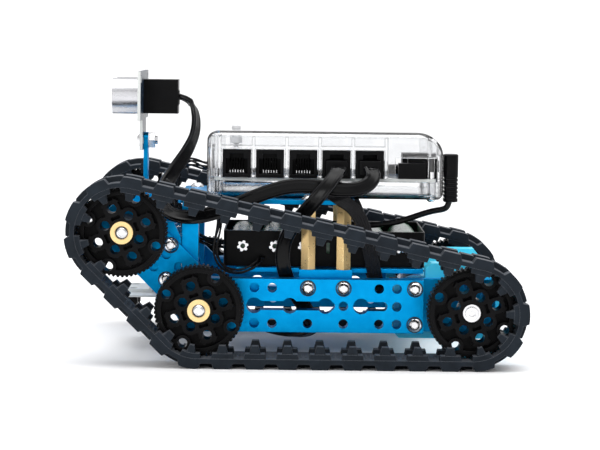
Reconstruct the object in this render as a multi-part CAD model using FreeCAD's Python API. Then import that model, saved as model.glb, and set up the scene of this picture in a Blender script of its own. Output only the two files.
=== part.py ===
"""Tracked robot kit: two rubber crawler tracks, slotted beams, clear controller case, sensors.

Millimetres.  +Z is up, the front (sensor end) faces -X and the left side faces -Y.
The origin is on the ground, at the centre of the footprint of the two tracks.
"""
import FreeCAD
import Part
import math
import os

# ---------------------------------------------------------------- driving dimensions
AXLE_HEIGHT = 24.8
WHEEL_BASE = 120.0
ARM_REACH = 48.0
ARM_ANGLE = math.radians(45)
HALF_WIDTH = 78.0
TRACK_WIDTH = 24.0

WHEEL_TEETH = 62
WHEEL_TIP_R = 19.8
WHEEL_ROOT_R = 19.1
WHEEL_RIM_R = 18.2
WHEEL_OUTER_Y = 71.0
WHEEL_INNER_Y = 61.0
HOLE_GRID = 8.0
HOLE_R = 2.1

TREAD_R = 24.8
BELT_OUTER_R = 22.4
BELT_INNER_R = 20.25
PITCH_R = 20.8
LUG_BASE_R = 18.0
LUG_TIP_R = 14.6
SEGMENTS = 32
SEGMENT_PHASE = 0.89
LUG_ROW_WIDTH = 6.3
TREAD_GROOVE = 1.6

BEAM_OUTER_Y = 50.0
BEAM_THICKNESS = 8.0
BEAM_HALF_HEIGHT = 12.0
PLATE_THICKNESS = 3.0
SHEET = 1.5

DECK_BOTTOM_Z = 38.3
DECK_THICKNESS = 2.0
STANDOFF_FLATS = 6.3
CONTROLLER_Z = 69.8
CONTROLLER_THICKNESS = 2.0

M4_R = 1.95
M4_HEAD_R = 3.3
M4_HEAD_H = 2.3
M4_SOCKET_R = 1.4
NUT_FLATS = 7.0
NUT_H = 3.2
SPIN_CLEARANCE = 0.05

CASE_FRONT_X = -41.5
CASE_REAR_X = 66.3
CASE_HALF_Y = 35.0
CASE_BOTTOM_Z = CONTROLLER_Z + CONTROLLER_THICKNESS
CASE_SEAM_Z = 81.4
CASE_TOP_Z = 102.2
CASE_WALL = 1.6
CASE_SCREW_R = 1.2
CASE_REAR_CURVE = 12.0
CASE_FRONT_CURVE = 5.0
CASE_SIDE_CURVE = 3.5
CASE_CORNER = 7.0
BOARD_THICKNESS = 1.6
JACK_PITCH = 15.1
JACK_WIDTH = 12.7
JACK_HEIGHT = 12.6
JACK_COUNT = 5

# ---------------------------------------------------------------- places worked out from them
ARM_STEP = ARM_REACH * math.cos(ARM_ANGLE)
FRONT_X = -(WHEEL_BASE - ARM_STEP) / 2
LOWER = (FRONT_X, AXLE_HEIGHT)
UPPER = (FRONT_X - ARM_STEP, AXLE_HEIGHT + ARM_STEP)
REAR = (FRONT_X + WHEEL_BASE, AXLE_HEIGHT)
BEAM_INNER_Y = BEAM_OUTER_Y - BEAM_THICKNESS
ARM_INNER_Y = BEAM_INNER_Y - PLATE_THICKNESS
BEAM_END_X = FRONT_X + 100.0
BEAM_TOP_Z = AXLE_HEIGHT + BEAM_HALF_HEIGHT
DECK_TOP_Z = DECK_BOTTOM_Z + DECK_THICKNESS
CONTROLLER_TOP_Z = CONTROLLER_Z + CONTROLLER_THICKNESS
STANDOFF_XS = (FRONT_X + 48.0, FRONT_X + 64.0)
STANDOFF_Y = 39.3
MOTOR = (REAR[0] - 22.2, AXLE_HEIGHT + 2.2)
SIDES = {"left": -1, "right": 1}

made = {}


# ---------------------------------------------------------------- helpers
def vec(x, y, z):
    return FreeCAD.Vector(x, y, z)


def block(x0, x1, y0, y1, z0, z1):
    low = vec(min(x0, x1), min(y0, y1), min(z0, z1))
    return Part.makeBox(abs(x1 - x0), abs(y1 - y0), abs(z1 - z0), low)


def rod_y(x, z, radius, y0, y1):
    return Part.makeCylinder(radius, abs(y1 - y0), vec(x, min(y0, y1), z), vec(0, 1, 0))


def rod_x(y, z, radius, x0, x1):
    return Part.makeCylinder(radius, abs(x1 - x0), vec(min(x0, x1), y, z), vec(1, 0, 0))


def rod_z(x, y, radius, z0, z1):
    return Part.makeCylinder(radius, abs(z1 - z0), vec(x, y, min(z0, z1)))


def prism_y(points, y0, y1):
    """A closed outline in the XZ plane, pulled from y0 to y1."""
    low = min(y0, y1)
    corners = [vec(x, low, z) for x, z in points]
    face = Part.Face(Part.makePolygon(corners + corners[:1]))
    return face.extrude(vec(0, abs(y1 - y0), 0))


def hexagon_z(x, y, flats, z0, z1):
    reach = flats / 2 / math.cos(math.pi / 6)
    corners = []
    for step in range(6):
        turn = math.radians(60 * step + 30)
        corners.append(vec(x + reach * math.cos(turn), y + reach * math.sin(turn), z0))
    face = Part.Face(Part.makePolygon(corners + corners[:1]))
    return face.extrude(vec(0, 0, z1 - z0))


def capsule(start, end, radius, y0, y1):
    """A bar with round ends, from start to end in the XZ plane."""
    dx = end[0] - start[0]
    dz = end[1] - start[1]
    length = math.hypot(dx, dz)
    nx = -dz / length * radius
    nz = dx / length * radius
    outline = [(start[0] + nx, start[1] + nz), (end[0] + nx, end[1] + nz),
               (end[0] - nx, end[1] - nz), (start[0] - nx, start[1] - nz)]
    ends = [rod_y(start[0], start[1], radius, y0, y1), rod_y(end[0], end[1], radius, y0, y1)]
    return prism_y(outline, y0, y1).fuse(ends).removeSplitter()


def place(shape, point, axis):
    """Turn a shape built along +Z to lie along axis, with its origin at point."""
    moved = shape.copy()
    moved.Placement = FreeCAD.Placement(vec(*point), FreeCAD.Rotation(vec(0, 0, 1), vec(*axis)))
    return moved


def button_screw(length, head_r=M4_HEAD_R, head_h=M4_HEAD_H, shank_r=M4_R, socket_r=M4_SOCKET_R):
    """Domed head above z = 0, shank below it."""
    dome_r = (head_r ** 2 + head_h ** 2) / (2 * head_h)
    dome = Part.makeSphere(dome_r, vec(0, 0, head_h - dome_r))
    head = dome.common(Part.makeCylinder(head_r, head_h))
    head = head.cut(hexagon_z(0, 0, socket_r * 2, head_h * 0.4, head_h * 1.2))
    return head.fuse(rod_z(0, 0, shank_r, -length, 0.2)).removeSplitter()


def hex_nut(flats=NUT_FLATS, height=NUT_H, hole_r=M4_R + 0.05):
    return hexagon_z(0, 0, flats, 0, height).cut(rod_z(0, 0, hole_r, -1, height + 1))


def washer(outer_r=3.6, thickness=0.8):
    return rod_z(0, 0, outer_r, 0, thickness).cut(rod_z(0, 0, M4_R + 0.1, -1, thickness + 1))


def rounded_box(x0, x1, y0, y1, z0, z1, corner, edge):
    """A box with its upright corners and its upper and lower rims rounded."""
    body = block(x0, x1, y0, y1, z0, z1)
    upright = [e for e in body.Edges if abs(e.tangentAt(e.FirstParameter).z) > 0.9]
    body = body.makeFillet(corner, upright)
    if edge > 0:
        rims = [e for e in body.Edges if abs(e.BoundBox.ZMax - e.BoundBox.ZMin) < 1e-6]
        body = body.makeFillet(edge, rims)
    return body


def group(shapes):
    return Part.makeCompound(list(shapes))


def keep(name, shape):
    made[name] = shape
    shape.exportStep("parts/" + name + ".step")


def arm_point(along, across):
    """A point on the front arm, from the lower axle towards the upper one."""
    cos_a = math.cos(ARM_ANGLE)
    sin_a = math.sin(ARM_ANGLE)
    return (LOWER[0] - along * cos_a + across * sin_a, LOWER[1] + along * sin_a + across * cos_a)


# ---------------------------------------------------------------- tracks
def track_path():
    """Straight runs and wrapped arcs of the belt's pitch line, as (length, point function)."""
    centres = [LOWER, REAR, UPPER]
    pieces = []
    for index, here in enumerate(centres):
        after = centres[(index + 1) % 3]
        before = centres[index - 1]
        heading_in = math.atan2(here[1] - before[1], here[0] - before[0])
        heading_out = math.atan2(after[1] - here[1], after[0] - here[0])
        turn = (heading_out - heading_in) % (2 * math.pi)
        pieces.append(("arc", here, heading_in, turn, turn * PITCH_R))
        run = math.hypot(after[0] - here[0], after[1] - here[1])
        pieces.append(("run", here, heading_out, 0.0, run))
    return pieces


PATH = track_path()
PERIMETER = sum(piece[4] for piece in PATH)
SEGMENT_PITCH = PERIMETER / SEGMENTS


def path_point(distance, radius):
    """The point at a distance along the pitch line and a radius from the wheel centres."""
    left = distance % PERIMETER
    for kind, centre, heading, turn, length in PATH:
        if left <= length + 1e-9:
            if kind == "arc":
                heading = heading + turn * left / length
                along = 0.0
            else:
                along = left
            out_x = math.sin(heading)
            out_z = -math.cos(heading)
            return (centre[0] + out_x * radius + math.cos(heading) * along,
                    centre[1] + out_z * radius + math.sin(heading) * along)
        left -= length
    return path_point(0.0, radius)


def tread_outline(with_tread, stagger=0.0):
    """The outside of the belt: one chamfered block on each segment, moved on by a stagger."""
    steps = [(-0.36, BELT_OUTER_R), (0.0, BELT_OUTER_R), (0.36, BELT_OUTER_R), (0.5, BELT_OUTER_R)]
    if with_tread:
        steps = [(-0.32, BELT_OUTER_R), (-0.25, TREAD_R), (0.25, TREAD_R), (0.32, BELT_OUTER_R),
                 (0.44, BELT_OUTER_R), (0.56, BELT_OUTER_R)]
    points = []
    for index in range(SEGMENTS):
        for share, radius in steps:
            points.append(path_point((index + share + stagger + SEGMENT_PHASE) * SEGMENT_PITCH,
                                     radius))
    return points


def lug_outline(with_lugs):
    """The inside of the belt: a stepped drive lug on each segment of an outer row."""
    steps = [(share / 8.0, BELT_INNER_R) for share in range(8)]
    if with_lugs:
        steps = [(-0.34, BELT_INNER_R), (-0.32, LUG_BASE_R), (-0.17, LUG_BASE_R),
                 (-0.11, LUG_TIP_R), (0.11, LUG_TIP_R), (0.17, LUG_BASE_R),
                 (0.32, LUG_BASE_R), (0.34, BELT_INNER_R), (0.45, BELT_INNER_R),
                 (0.56, BELT_INNER_R)]
    points = []
    for index in range(SEGMENTS):
        for share, radius in steps:
            points.append(path_point((index + share + SEGMENT_PHASE) * SEGMENT_PITCH, radius))
    return points


def belt_slice(y0, y1, with_tread, with_lugs, stagger=0.0):
    outer = prism_y(tread_outline(with_tread, stagger), y0, y1)
    inner = prism_y(lug_outline(with_lugs), min(y0, y1) - 1, max(y0, y1) + 1)
    return outer.cut(inner)


def track(side):
    """Two edge columns of blocks over the lug rows, and a staggered column between them."""
    edge = HALF_WIDTH
    inner = HALF_WIDTH - TRACK_WIDTH
    lugs_outer = side * (edge - LUG_ROW_WIDTH)
    lugs_inner = side * (inner + LUG_ROW_WIDTH)
    blocks_outer = lugs_outer - side * TREAD_GROOVE
    blocks_inner = lugs_inner + side * TREAD_GROOVE
    slices = [belt_slice(lugs_outer, side * edge, True, True),
              belt_slice(blocks_outer, lugs_outer, False, False),
              belt_slice(blocks_inner, blocks_outer, True, False, 0.5),
              belt_slice(lugs_inner, blocks_inner, False, False),
              belt_slice(side * inner, lugs_inner, True, True)]
    return slices[0].fuse(slices[1:]).removeSplitter()


# ---------------------------------------------------------------- wheels
def wheel_hole_places(turn_deg):
    """Inner grid holes and outer ring holes, turned about the axle."""
    grid = HOLE_GRID
    inner = [(grid, 0), (-grid, 0), (0, grid), (0, -grid)]
    corner = [(grid, grid), (-grid, grid), (grid, -grid), (-grid, -grid)]
    outer = [(2 * grid, 0), (-2 * grid, 0), (0, 2 * grid), (0, -2 * grid)]
    turn = math.radians(turn_deg)
    turned = []
    for ring in (inner, corner, outer):
        turned.append([(x * math.cos(turn) - z * math.sin(turn),
                        x * math.sin(turn) + z * math.cos(turn)) for x, z in ring])
    return turned


def wheel(centre, side, turn_deg, bore_r, recess_r):
    cx, cz = centre
    outline = []
    for tooth in range(WHEEL_TEETH):
        for share, radius in ((0.0, WHEEL_ROOT_R), (0.3, WHEEL_ROOT_R),
                              (0.45, WHEEL_TIP_R), (0.85, WHEEL_TIP_R)):
            angle = 2 * math.pi * (tooth + share) / WHEEL_TEETH
            outline.append((cx + radius * math.cos(angle), cz + radius * math.sin(angle)))
    face_y = side * WHEEL_OUTER_Y
    tooth_y = side * (WHEEL_OUTER_Y - 0.9)
    back_y = side * WHEEL_INNER_Y
    body = prism_y(outline, tooth_y, back_y).fuse(rod_y(cx, cz, WHEEL_RIM_R, tooth_y, face_y))
    inner, corner, outer = wheel_hole_places(turn_deg)
    solid_parts = [rod_y(cx + x, cz + z, 3.7, face_y, back_y) for x, z in inner + corner]
    solid_parts += [rod_y(cx + x, cz + z, 3.4, face_y, back_y) for x, z in outer]
    turn = math.radians(turn_deg)
    for offset in (-HOLE_GRID, HOLE_GRID):
        for quarter in (0, math.pi / 2):
            angle = turn + quarter
            ux, uz = math.cos(angle), math.sin(angle)
            nx, nz = -uz, ux
            reach, half = 12.5, 1.3
            corners = [(cx + ux * a + nx * (offset + b), cz + uz * a + nz * (offset + b))
                       for a, b in ((-reach, -half), (reach, -half), (reach, half), (-reach, half))]
            solid_parts.append(prism_y(corners, face_y, back_y))
    pocket_front = rod_y(cx, cz, 16.6, face_y, side * (WHEEL_OUTER_Y - 4.5))
    pocket_back = rod_y(cx, cz, 16.6, side * (WHEEL_INNER_Y + 2.5), back_y)
    core = rod_y(cx, cz, 6.2, face_y, back_y)
    pockets = pocket_front.fuse(pocket_back).cut([core] + solid_parts)
    holes = [rod_y(cx + x, cz + z, HOLE_R, face_y + side, back_y - side)
             for x, z in inner + corner + outer]
    holes.append(rod_y(cx, cz, bore_r, face_y + side, back_y - side))
    holes.append(rod_y(cx, cz, recess_r, face_y + side, side * (WHEEL_OUTER_Y - 1.2)))
    body = body.fuse(solid_parts[8:12])
    return body.cut([pockets] + holes).removeSplitter()


SLEEVE_R = 4.0


def idler_places():
    """Every idler axle: its centre, side, and the plate faces that it is bolted through."""
    places = []
    for side in SIDES.values():
        places.append((LOWER, side, BEAM_OUTER_Y, ARM_INNER_Y))
        places.append((UPPER, side, BEAM_INNER_Y, ARM_INNER_Y))
    return places


def axle_sleeve(centre, side, plate_y):
    cx, cz = centre
    flange = rod_y(cx, cz, 5.0, side * (WHEEL_OUTER_Y + 0.2), side * (WHEEL_OUTER_Y + 1.2))
    barrel = rod_y(cx, cz, SLEEVE_R, side * (WHEEL_OUTER_Y + 0.2), side * plate_y)
    bore = rod_y(cx, cz, M4_R + 0.1, side * (WHEEL_OUTER_Y + 2), side * (plate_y - 1))
    return flange.fuse(barrel).cut(bore).removeSplitter()


def axle_spacer(centre, side, plate_y):
    cx, cz = centre
    tube = rod_y(cx, cz, 6.0, side * (WHEEL_INNER_Y - 0.3), side * plate_y)
    return tube.cut(rod_y(cx, cz, SLEEVE_R + SPIN_CLEARANCE, side * (WHEEL_INNER_Y + 1),
                          side * (plate_y - 1)))


def axle_screw(centre, side, inner_y):
    length = WHEEL_OUTER_Y + 1.2 - inner_y + NUT_H + 1.0
    screw = button_screw(length, head_r=3.1, head_h=1.8)
    return place(screw, (centre[0], side * (WHEEL_OUTER_Y + 1.2), centre[1]), (0, side, 0))


# ---------------------------------------------------------------- drive
OUTPUT_R = 2.0
MODULE = 0.35
PINION_TEETH = 10
CLUSTER_TEETH = 52
OUTPUT_TEETH = 75
GEARBOX_INNER_Y = ARM_INNER_Y - 10.0
GEARBOX_WALL = 1.5
CAN_END_Y = 6.0
CODER_END_Y = 1.5
CAN_HALF_X = 7.7
CAN_R = 10.2


def cluster_centre():
    """Where the middle gear sits, at its two mesh distances from the motor and the output."""
    to_motor = MODULE * (PINION_TEETH + CLUSTER_TEETH) / 2
    to_output = MODULE * (PINION_TEETH + OUTPUT_TEETH) / 2
    dx, dz = REAR[0] - MOTOR[0], REAR[1] - MOTOR[1]
    span = math.hypot(dx, dz)
    along = (to_motor ** 2 - to_output ** 2 + span ** 2) / (2 * span)
    drop = math.sqrt(to_motor ** 2 - along ** 2)
    ux, uz = dx / span, dz / span
    return (MOTOR[0] + ux * along + uz * drop, MOTOR[1] + uz * along - ux * drop)


CLUSTER = cluster_centre()


def gear(centre, teeth, y0, y1):
    """A toothed disc that stays just inside its pitch circle, so meshing pairs never touch."""
    cx, cz = centre
    tip = MODULE * teeth / 2 - 0.06
    root = tip - MODULE * 0.9
    outline = []
    for tooth in range(teeth):
        for share, radius in ((0.0, root), (0.4, root), (0.55, tip), (0.85, tip)):
            angle = 2 * math.pi * (tooth + share) / teeth
            outline.append((cx + radius * math.cos(angle), cz + radius * math.sin(angle)))
    return prism_y(outline, y0, y1)


def drive_shaft(side):
    """Output shaft, wheel hub, cap screw and output gear, as separate solids."""
    cx, cz = REAR
    hub_back = WHEEL_INNER_Y - 3.0
    gear_y = ARM_INNER_Y - GEARBOX_WALL - 0.5
    hub = rod_y(cx, cz, SLEEVE_R - 0.05, side * (WHEEL_OUTER_Y - 1.4), side * WHEEL_INNER_Y)
    hub = hub.fuse(rod_y(cx, cz, 6.5, side * (WHEEL_INNER_Y - 0.1), side * hub_back))
    hub = hub.cut(rod_y(cx, cz, OUTPUT_R, side * (WHEEL_OUTER_Y + 1), side * (hub_back - 1)))
    shaft = rod_y(cx, cz, OUTPUT_R, side * (WHEEL_OUTER_Y - 1.4), side * (gear_y - 4.6))
    head = rod_y(cx, cz, 2.85, side * (WHEEL_OUTER_Y - 1.4), side * (WHEEL_OUTER_Y + 0.6))
    socket = place(hexagon_z(0, 0, 2.5, 0, 2.0), (cx, side * (WHEEL_OUTER_Y - 0.8), cz),
                   (0, side, 0))
    wheel_gear = gear(REAR, OUTPUT_TEETH, side * gear_y, side * (gear_y - 3.0))
    wheel_gear = wheel_gear.cut(rod_y(cx, cz, OUTPUT_R, side * (gear_y + 1), side * (gear_y - 4)))
    return group([hub, shaft, head.cut(socket), wheel_gear])


def gear_cluster(side):
    outer_y = ARM_INNER_Y - GEARBOX_WALL - 0.5
    inner_y = GEARBOX_INNER_Y + GEARBOX_WALL + 0.5
    small = gear(CLUSTER, PINION_TEETH, side * outer_y, side * (outer_y - 3.2))
    large = gear(CLUSTER, CLUSTER_TEETH, side * (inner_y + 2.5), side * inner_y)
    core = rod_y(CLUSTER[0], CLUSTER[1], 1.0, side * (outer_y + 1.4), side * (inner_y - 1.4))
    return core.fuse([small, large]).removeSplitter()


def motor_rotor(side):
    """Shaft, armature, pinion and code wheel of the motor."""
    mx, mz = MOTOR
    pinion_y = GEARBOX_INNER_Y + GEARBOX_WALL + 0.5
    shaft = rod_y(mx, mz, 1.0, side * (pinion_y + 2.6), side * (CODER_END_Y + 1.4))
    pinion = gear(MOTOR, PINION_TEETH, side * (pinion_y + 2.6), side * pinion_y)
    armature = rod_y(mx, mz, 4.2, side * 26.0, side * 9.5)
    code_wheel = rod_y(mx, mz, 5.8, side * 4.4, side * 3.6)
    return shaft.fuse([pinion, armature, code_wheel]).removeSplitter()


def gearbox(side):
    """Hollow housing that spans from the motor to the output shaft."""
    y0, y1 = side * ARM_INNER_Y, side * GEARBOX_INNER_Y
    high = [(58.3, 9.3), (89.0, 9.3), (92.0, 12.3), (92.0, 36.0), (86.0, 43.5), (61.0, 43.5),
            (58.3, 40.8)]
    low = [(44.0, 12.0), (46.5, 9.3), (60.0, 9.3), (60.0, 35.4), (44.0, 35.4)]
    body = prism_y(high, y0, y1).fuse(prism_y(low, y0, y1)).removeSplitter()
    w0, w1 = side * (ARM_INNER_Y - GEARBOX_WALL), side * (GEARBOX_INNER_Y + GEARBOX_WALL)
    room = rod_y(REAR[0], REAR[1], 13.8, w0, w1)
    room = room.fuse([rod_y(CLUSTER[0], CLUSTER[1], 9.6, w0, w1), rod_y(MOTOR[0], MOTOR[1], 3.0, w0, w1)])
    pin_r = 1.0 + SPIN_CLEARANCE
    bores = [rod_y(REAR[0], REAR[1], OUTPUT_R + SPIN_CLEARANCE, y0 + side, y1 + side * 0.6),
             rod_y(CLUSTER[0], CLUSTER[1], pin_r, w0 + side * 1.1, w1 - side * 1.1),
             rod_y(MOTOR[0], MOTOR[1], pin_r, w1 + side * 0.5, y1 - side)]
    return body.cut([room] + bores)


def flat_round(side, half_x, radius, y0, y1):
    disc = rod_y(MOTOR[0], MOTOR[1], radius, side * y0, side * y1)
    return disc.common(block(MOTOR[0] - half_x, MOTOR[0] + half_x, side * y0, side * y1,
                             MOTOR[1] - 20, MOTOR[1] + 20))


def motor_can(side):
    body = flat_round(side, CAN_HALF_X, CAN_R, GEARBOX_INNER_Y, CAN_END_Y)
    room = flat_round(side, CAN_HALF_X - 0.9, CAN_R - 0.9, GEARBOX_INNER_Y - 1.2, CAN_END_Y + 1.2)
    bore = rod_y(MOTOR[0], MOTOR[1], 1.0 + SPIN_CLEARANCE, side * (GEARBOX_INNER_Y + 1),
                 side * (CAN_END_Y - 1))
    return body.cut([room, bore])


def encoder_cover(side):
    mx, mz = MOTOR
    body = flat_round(side, CAN_HALF_X, CAN_R, CAN_END_Y, CODER_END_Y)
    socket = block(mx - CAN_HALF_X - 3.0, mx - CAN_HALF_X + 1.0, side * (CAN_END_Y - 0.2),
                   side * (CODER_END_Y + 0.1), mz - 5, mz + 5)
    room = rod_y(mx, mz, 6.5, side * (CAN_END_Y + 1), side * (CODER_END_Y + 0.8))
    return body.fuse(socket).cut(room).removeSplitter()


def motor_plate(side):
    plate = block(BEAM_END_X - 10, REAR[0] + 13, side * BEAM_INNER_Y, side * ARM_INNER_Y,
                  AXLE_HEIGHT - BEAM_HALF_HEIGHT, BEAM_TOP_Z)
    through = (side * (BEAM_INNER_Y + 1), side * (ARM_INNER_Y - 1))
    holes = [rod_y(FRONT_X + 96, AXLE_HEIGHT + dz, HOLE_R, *through) for dz in (-8, 8)]
    holes.append(rod_y(REAR[0], REAR[1], 4.0, *through))
    for angle in range(0, 360, 60):
        turn = math.radians(angle + 30)
        if math.cos(turn) < 0.9:
            holes.append(rod_y(REAR[0] + 9 * math.cos(turn), REAR[1] + 9 * math.sin(turn), 1.6,
                               *through))
    return plate.cut(holes)


# ---------------------------------------------------------------- chassis
SCREWED_HOLES = ((48, 8), (64, 8), (96, 8), (96, -8))
OPEN_HOLES = ((24, 8), (32, 8), (80, 8), (88, 8), (24, -8), (32, -8), (48, -8), (64, -8),
              (80, -8), (88, -8), (64, 0), (88, 0))
ARM_SCREWS = ((18.6, -4.0), (28.2, 8.4))
ARM_LEG_END_X = FRONT_X + 27.8
ARM_HOLES = ((18.6, 4.0), (26.6, -4.0), (26.6, 4.0), (34.6, 0.0), (10.6, 0.0))


def side_beam(side):
    y0, y1 = side * BEAM_OUTER_Y, side * BEAM_INNER_Y
    body = block(FRONT_X, BEAM_END_X, y0, y1, AXLE_HEIGHT - BEAM_HALF_HEIGHT, BEAM_TOP_Z)
    body = body.fuse(rod_y(FRONT_X, AXLE_HEIGHT, BEAM_HALF_HEIGHT, y0, y1)).removeSplitter()
    through = (y0 + side, y1 - side)
    cuts = [rod_y(FRONT_X + x, AXLE_HEIGHT + z, HOLE_R, *through)
            for x, z in SCREWED_HOLES + OPEN_HOLES]
    cuts.append(rod_y(FRONT_X, AXLE_HEIGHT, HOLE_R, *through))
    for start, end in ((22.6, 58.2), (70.4, 81.8)):
        cuts.append(capsule((FRONT_X + start, AXLE_HEIGHT), (FRONT_X + end, AXLE_HEIGHT), 2.0,
                            *through))
    for x in (24, 40, 56, 72):
        cuts.append(rod_y(FRONT_X + x, AXLE_HEIGHT, 3.5, *through))
    for cut in cuts:
        body = body.cut(cut)
    return body


def front_arm(side):
    y0, y1 = side * BEAM_INNER_Y, side * ARM_INNER_Y
    half = BEAM_HALF_HEIGHT - 0.3
    leg = block(LOWER[0], ARM_LEG_END_X, y0, y1, AXLE_HEIGHT - half, AXLE_HEIGHT + half)
    body = capsule(LOWER, UPPER, half, y0, y1).fuse(leg).removeSplitter()
    through = (y0 + side, y1 - side)
    window = capsule((FRONT_X + 24.0, AXLE_HEIGHT), (FRONT_X + 40.0, AXLE_HEIGHT), 3.6, *through)
    places = [arm_point(a, b) for a, b in ARM_SCREWS + ARM_HOLES] + [LOWER, UPPER]
    return body.cut([rod_y(x, z, HOLE_R, *through) for x, z in places] + [window])


COLUMN_X0 = -52.1
COLUMN_X1 = -44.7
COLUMN_DEPTH = 8.0
COLUMN_BOTTOM_Z = 31.0
COLUMN_SCREW_Z = 36.5
BRACKET_X0 = -70.0
BRACKET_HALF_Y = ARM_INNER_Y
COLUMN_MID_X = (COLUMN_X0 + COLUMN_X1) / 2
COLUMN_MID_Y = ARM_INNER_Y - COLUMN_DEPTH / 2


def front_cross_bracket():
    """A sheet channel across the front, with an ear on each arm."""
    web = block(BRACKET_X0, BRACKET_X0 + SHEET, -BRACKET_HALF_Y, BRACKET_HALF_Y, 38.0, 61.0)
    parts = []
    for side in SIDES.values():
        ear = [(BRACKET_X0, 38.0), (-63.0, 30.5), (-55.0, 30.5), (COLUMN_X0 - 0.5, 36.0),
               (COLUMN_X0 - 0.5, 54.0), (-56.0, 61.0), (BRACKET_X0, 61.0)]
        parts.append(prism_y(ear, side * BRACKET_HALF_Y, side * (BRACKET_HALF_Y - SHEET)))
    body = web.fuse(parts).removeSplitter()
    cuts = [rod_x(y, z, HOLE_R, BRACKET_X0 - 2, BRACKET_X0 + 4)
            for y in (-32, -24, -16, -8, 0, 8, 16, 24, 32) for z in (43.0, 55.0)]
    for a, b in ARM_SCREWS:
        x, z = arm_point(a, b)
        cuts.append(rod_y(x, z, HOLE_R, -BRACKET_HALF_Y - 2, BRACKET_HALF_Y + 2))
    return body.cut(cuts)


def front_column(side):
    body = block(COLUMN_X0, COLUMN_X1, side * ARM_INNER_Y, side * (ARM_INNER_Y - COLUMN_DEPTH),
                 COLUMN_BOTTOM_Z, CONTROLLER_Z)
    cuts = [rod_x(side * COLUMN_MID_Y, z, 1.6, COLUMN_X0 - 1, COLUMN_X1 + 1)
            for z in (46.0, 54.0)]
    cuts.append(rod_z(COLUMN_MID_X, side * COLUMN_MID_Y, M4_R + 0.05, CONTROLLER_Z - 9.0,
                      CONTROLLER_Z + 1))
    cuts.append(rod_y(COLUMN_MID_X, COLUMN_SCREW_Z, M4_R + 0.05, side * (ARM_INNER_Y + 1),
                      side * (ARM_INNER_Y - COLUMN_DEPTH - 1)))
    return body.cut(cuts)


def deck_bracket(side):
    x0, x1 = STANDOFF_XS[0] - 4, STANDOFF_XS[1] + 4
    upright = block(x0, x1, side * BEAM_INNER_Y, side * (BEAM_INNER_Y - SHEET), 28.9, DECK_BOTTOM_Z)
    shelf = block(x0, x1, side * BEAM_INNER_Y, side * 26.0, BEAM_TOP_Z, DECK_BOTTOM_Z)
    seat = block(x0, x1, side * BEAM_INNER_Y, side * (DECK_HALF_Y + 0.1), BEAM_TOP_Z, DECK_TOP_Z)
    body = upright.fuse([shelf, seat]).removeSplitter()
    cuts = []
    for x in STANDOFF_XS:
        cuts.append(rod_y(x, AXLE_HEIGHT + 8, HOLE_R, side * (BEAM_INNER_Y + 1),
                          side * (BEAM_INNER_Y - 3)))
        cuts.append(rod_z(x, side * STANDOFF_Y, HOLE_R, BEAM_TOP_Z - 1, DECK_TOP_Z + 1))
        cuts.append(rod_z(x, side * 30.0, HOLE_R, BEAM_TOP_Z - 1, DECK_BOTTOM_Z + 1))
    return body.cut(cuts)


DECK_X0 = -27.6
DECK_X1 = 57.4
DECK_HALF_Y = 35.5
DECK_HOLE_XS = tuple(FRONT_X + 24 + 8 * step for step in range(9))


def deck():
    body = block(DECK_X0, DECK_X1, -DECK_HALF_Y, DECK_HALF_Y, DECK_BOTTOM_Z, DECK_TOP_Z)
    cuts = []
    for side in SIDES.values():
        for x in DECK_HOLE_XS:
            cuts.append(rod_z(x, side * 30.0, HOLE_R, DECK_BOTTOM_Z - 1, DECK_TOP_Z + 1))
    for y in (-12.0, 12.0):
        for x0, x1 in ((-18.0, 8.0), (20.0, 46.0)):
            slot = block(x0, x1, y - 2, y + 2, DECK_BOTTOM_Z - 1, DECK_TOP_Z + 1)
            rounds = [rod_z(x, y, 2.0, DECK_BOTTOM_Z - 1, DECK_TOP_Z + 1) for x in (x0, x1)]
            cuts.append(slot.fuse(rounds))
    for cut in cuts:
        body = body.cut(cut)
    return body


PLATE_X0 = -54.0
PLATE_X1 = 25.6
PLATE_HALF_Y = 43.0


def controller_plate():
    body = rounded_box(PLATE_X0, PLATE_X1, -PLATE_HALF_Y, PLATE_HALF_Y, CONTROLLER_Z,
                       CONTROLLER_TOP_Z, 3.0, 0)
    cuts = []
    for side in SIDES.values():
        for x in STANDOFF_XS + (COLUMN_MID_X,):
            y = STANDOFF_Y if x in STANDOFF_XS else COLUMN_MID_Y
            cuts.append(rod_z(x, side * y, HOLE_R, CONTROLLER_Z - 1, CONTROLLER_TOP_Z + 1))
        for step in range(5):
            cuts.append(rod_z(-35.0 + 8 * step, side * STANDOFF_Y, HOLE_R, CONTROLLER_Z - 1,
                              CONTROLLER_TOP_Z + 1))
        cuts.append(block(-30.0, 10.0, side * 20 - 2, side * 20 + 2, CONTROLLER_Z - 1,
                          CONTROLLER_TOP_Z + 1))
        cuts.append(rod_z(POST_PLACES[0][0], side * POST_PLACES[1][1], 2.8, CONTROLLER_Z - 1,
                          CONTROLLER_TOP_Z + 1))
    for cut in cuts:
        body = body.cut(cut)
    return body


def hex_standoff(x, side):
    body = hexagon_z(x, side * STANDOFF_Y, STANDOFF_FLATS, DECK_TOP_Z, CONTROLLER_Z)
    bores = [rod_z(x, side * STANDOFF_Y, M4_R + 0.05, DECK_TOP_Z - 1, DECK_TOP_Z + 8),
             rod_z(x, side * STANDOFF_Y, M4_R + 0.05, CONTROLLER_Z - 8, CONTROLLER_Z + 1)]
    return body.cut(bores)


MAST_X0 = BRACKET_X0 - 2.0
MAST_TOP_Z = 99.7
MAST_SCREW_Z = 96.0


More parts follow.
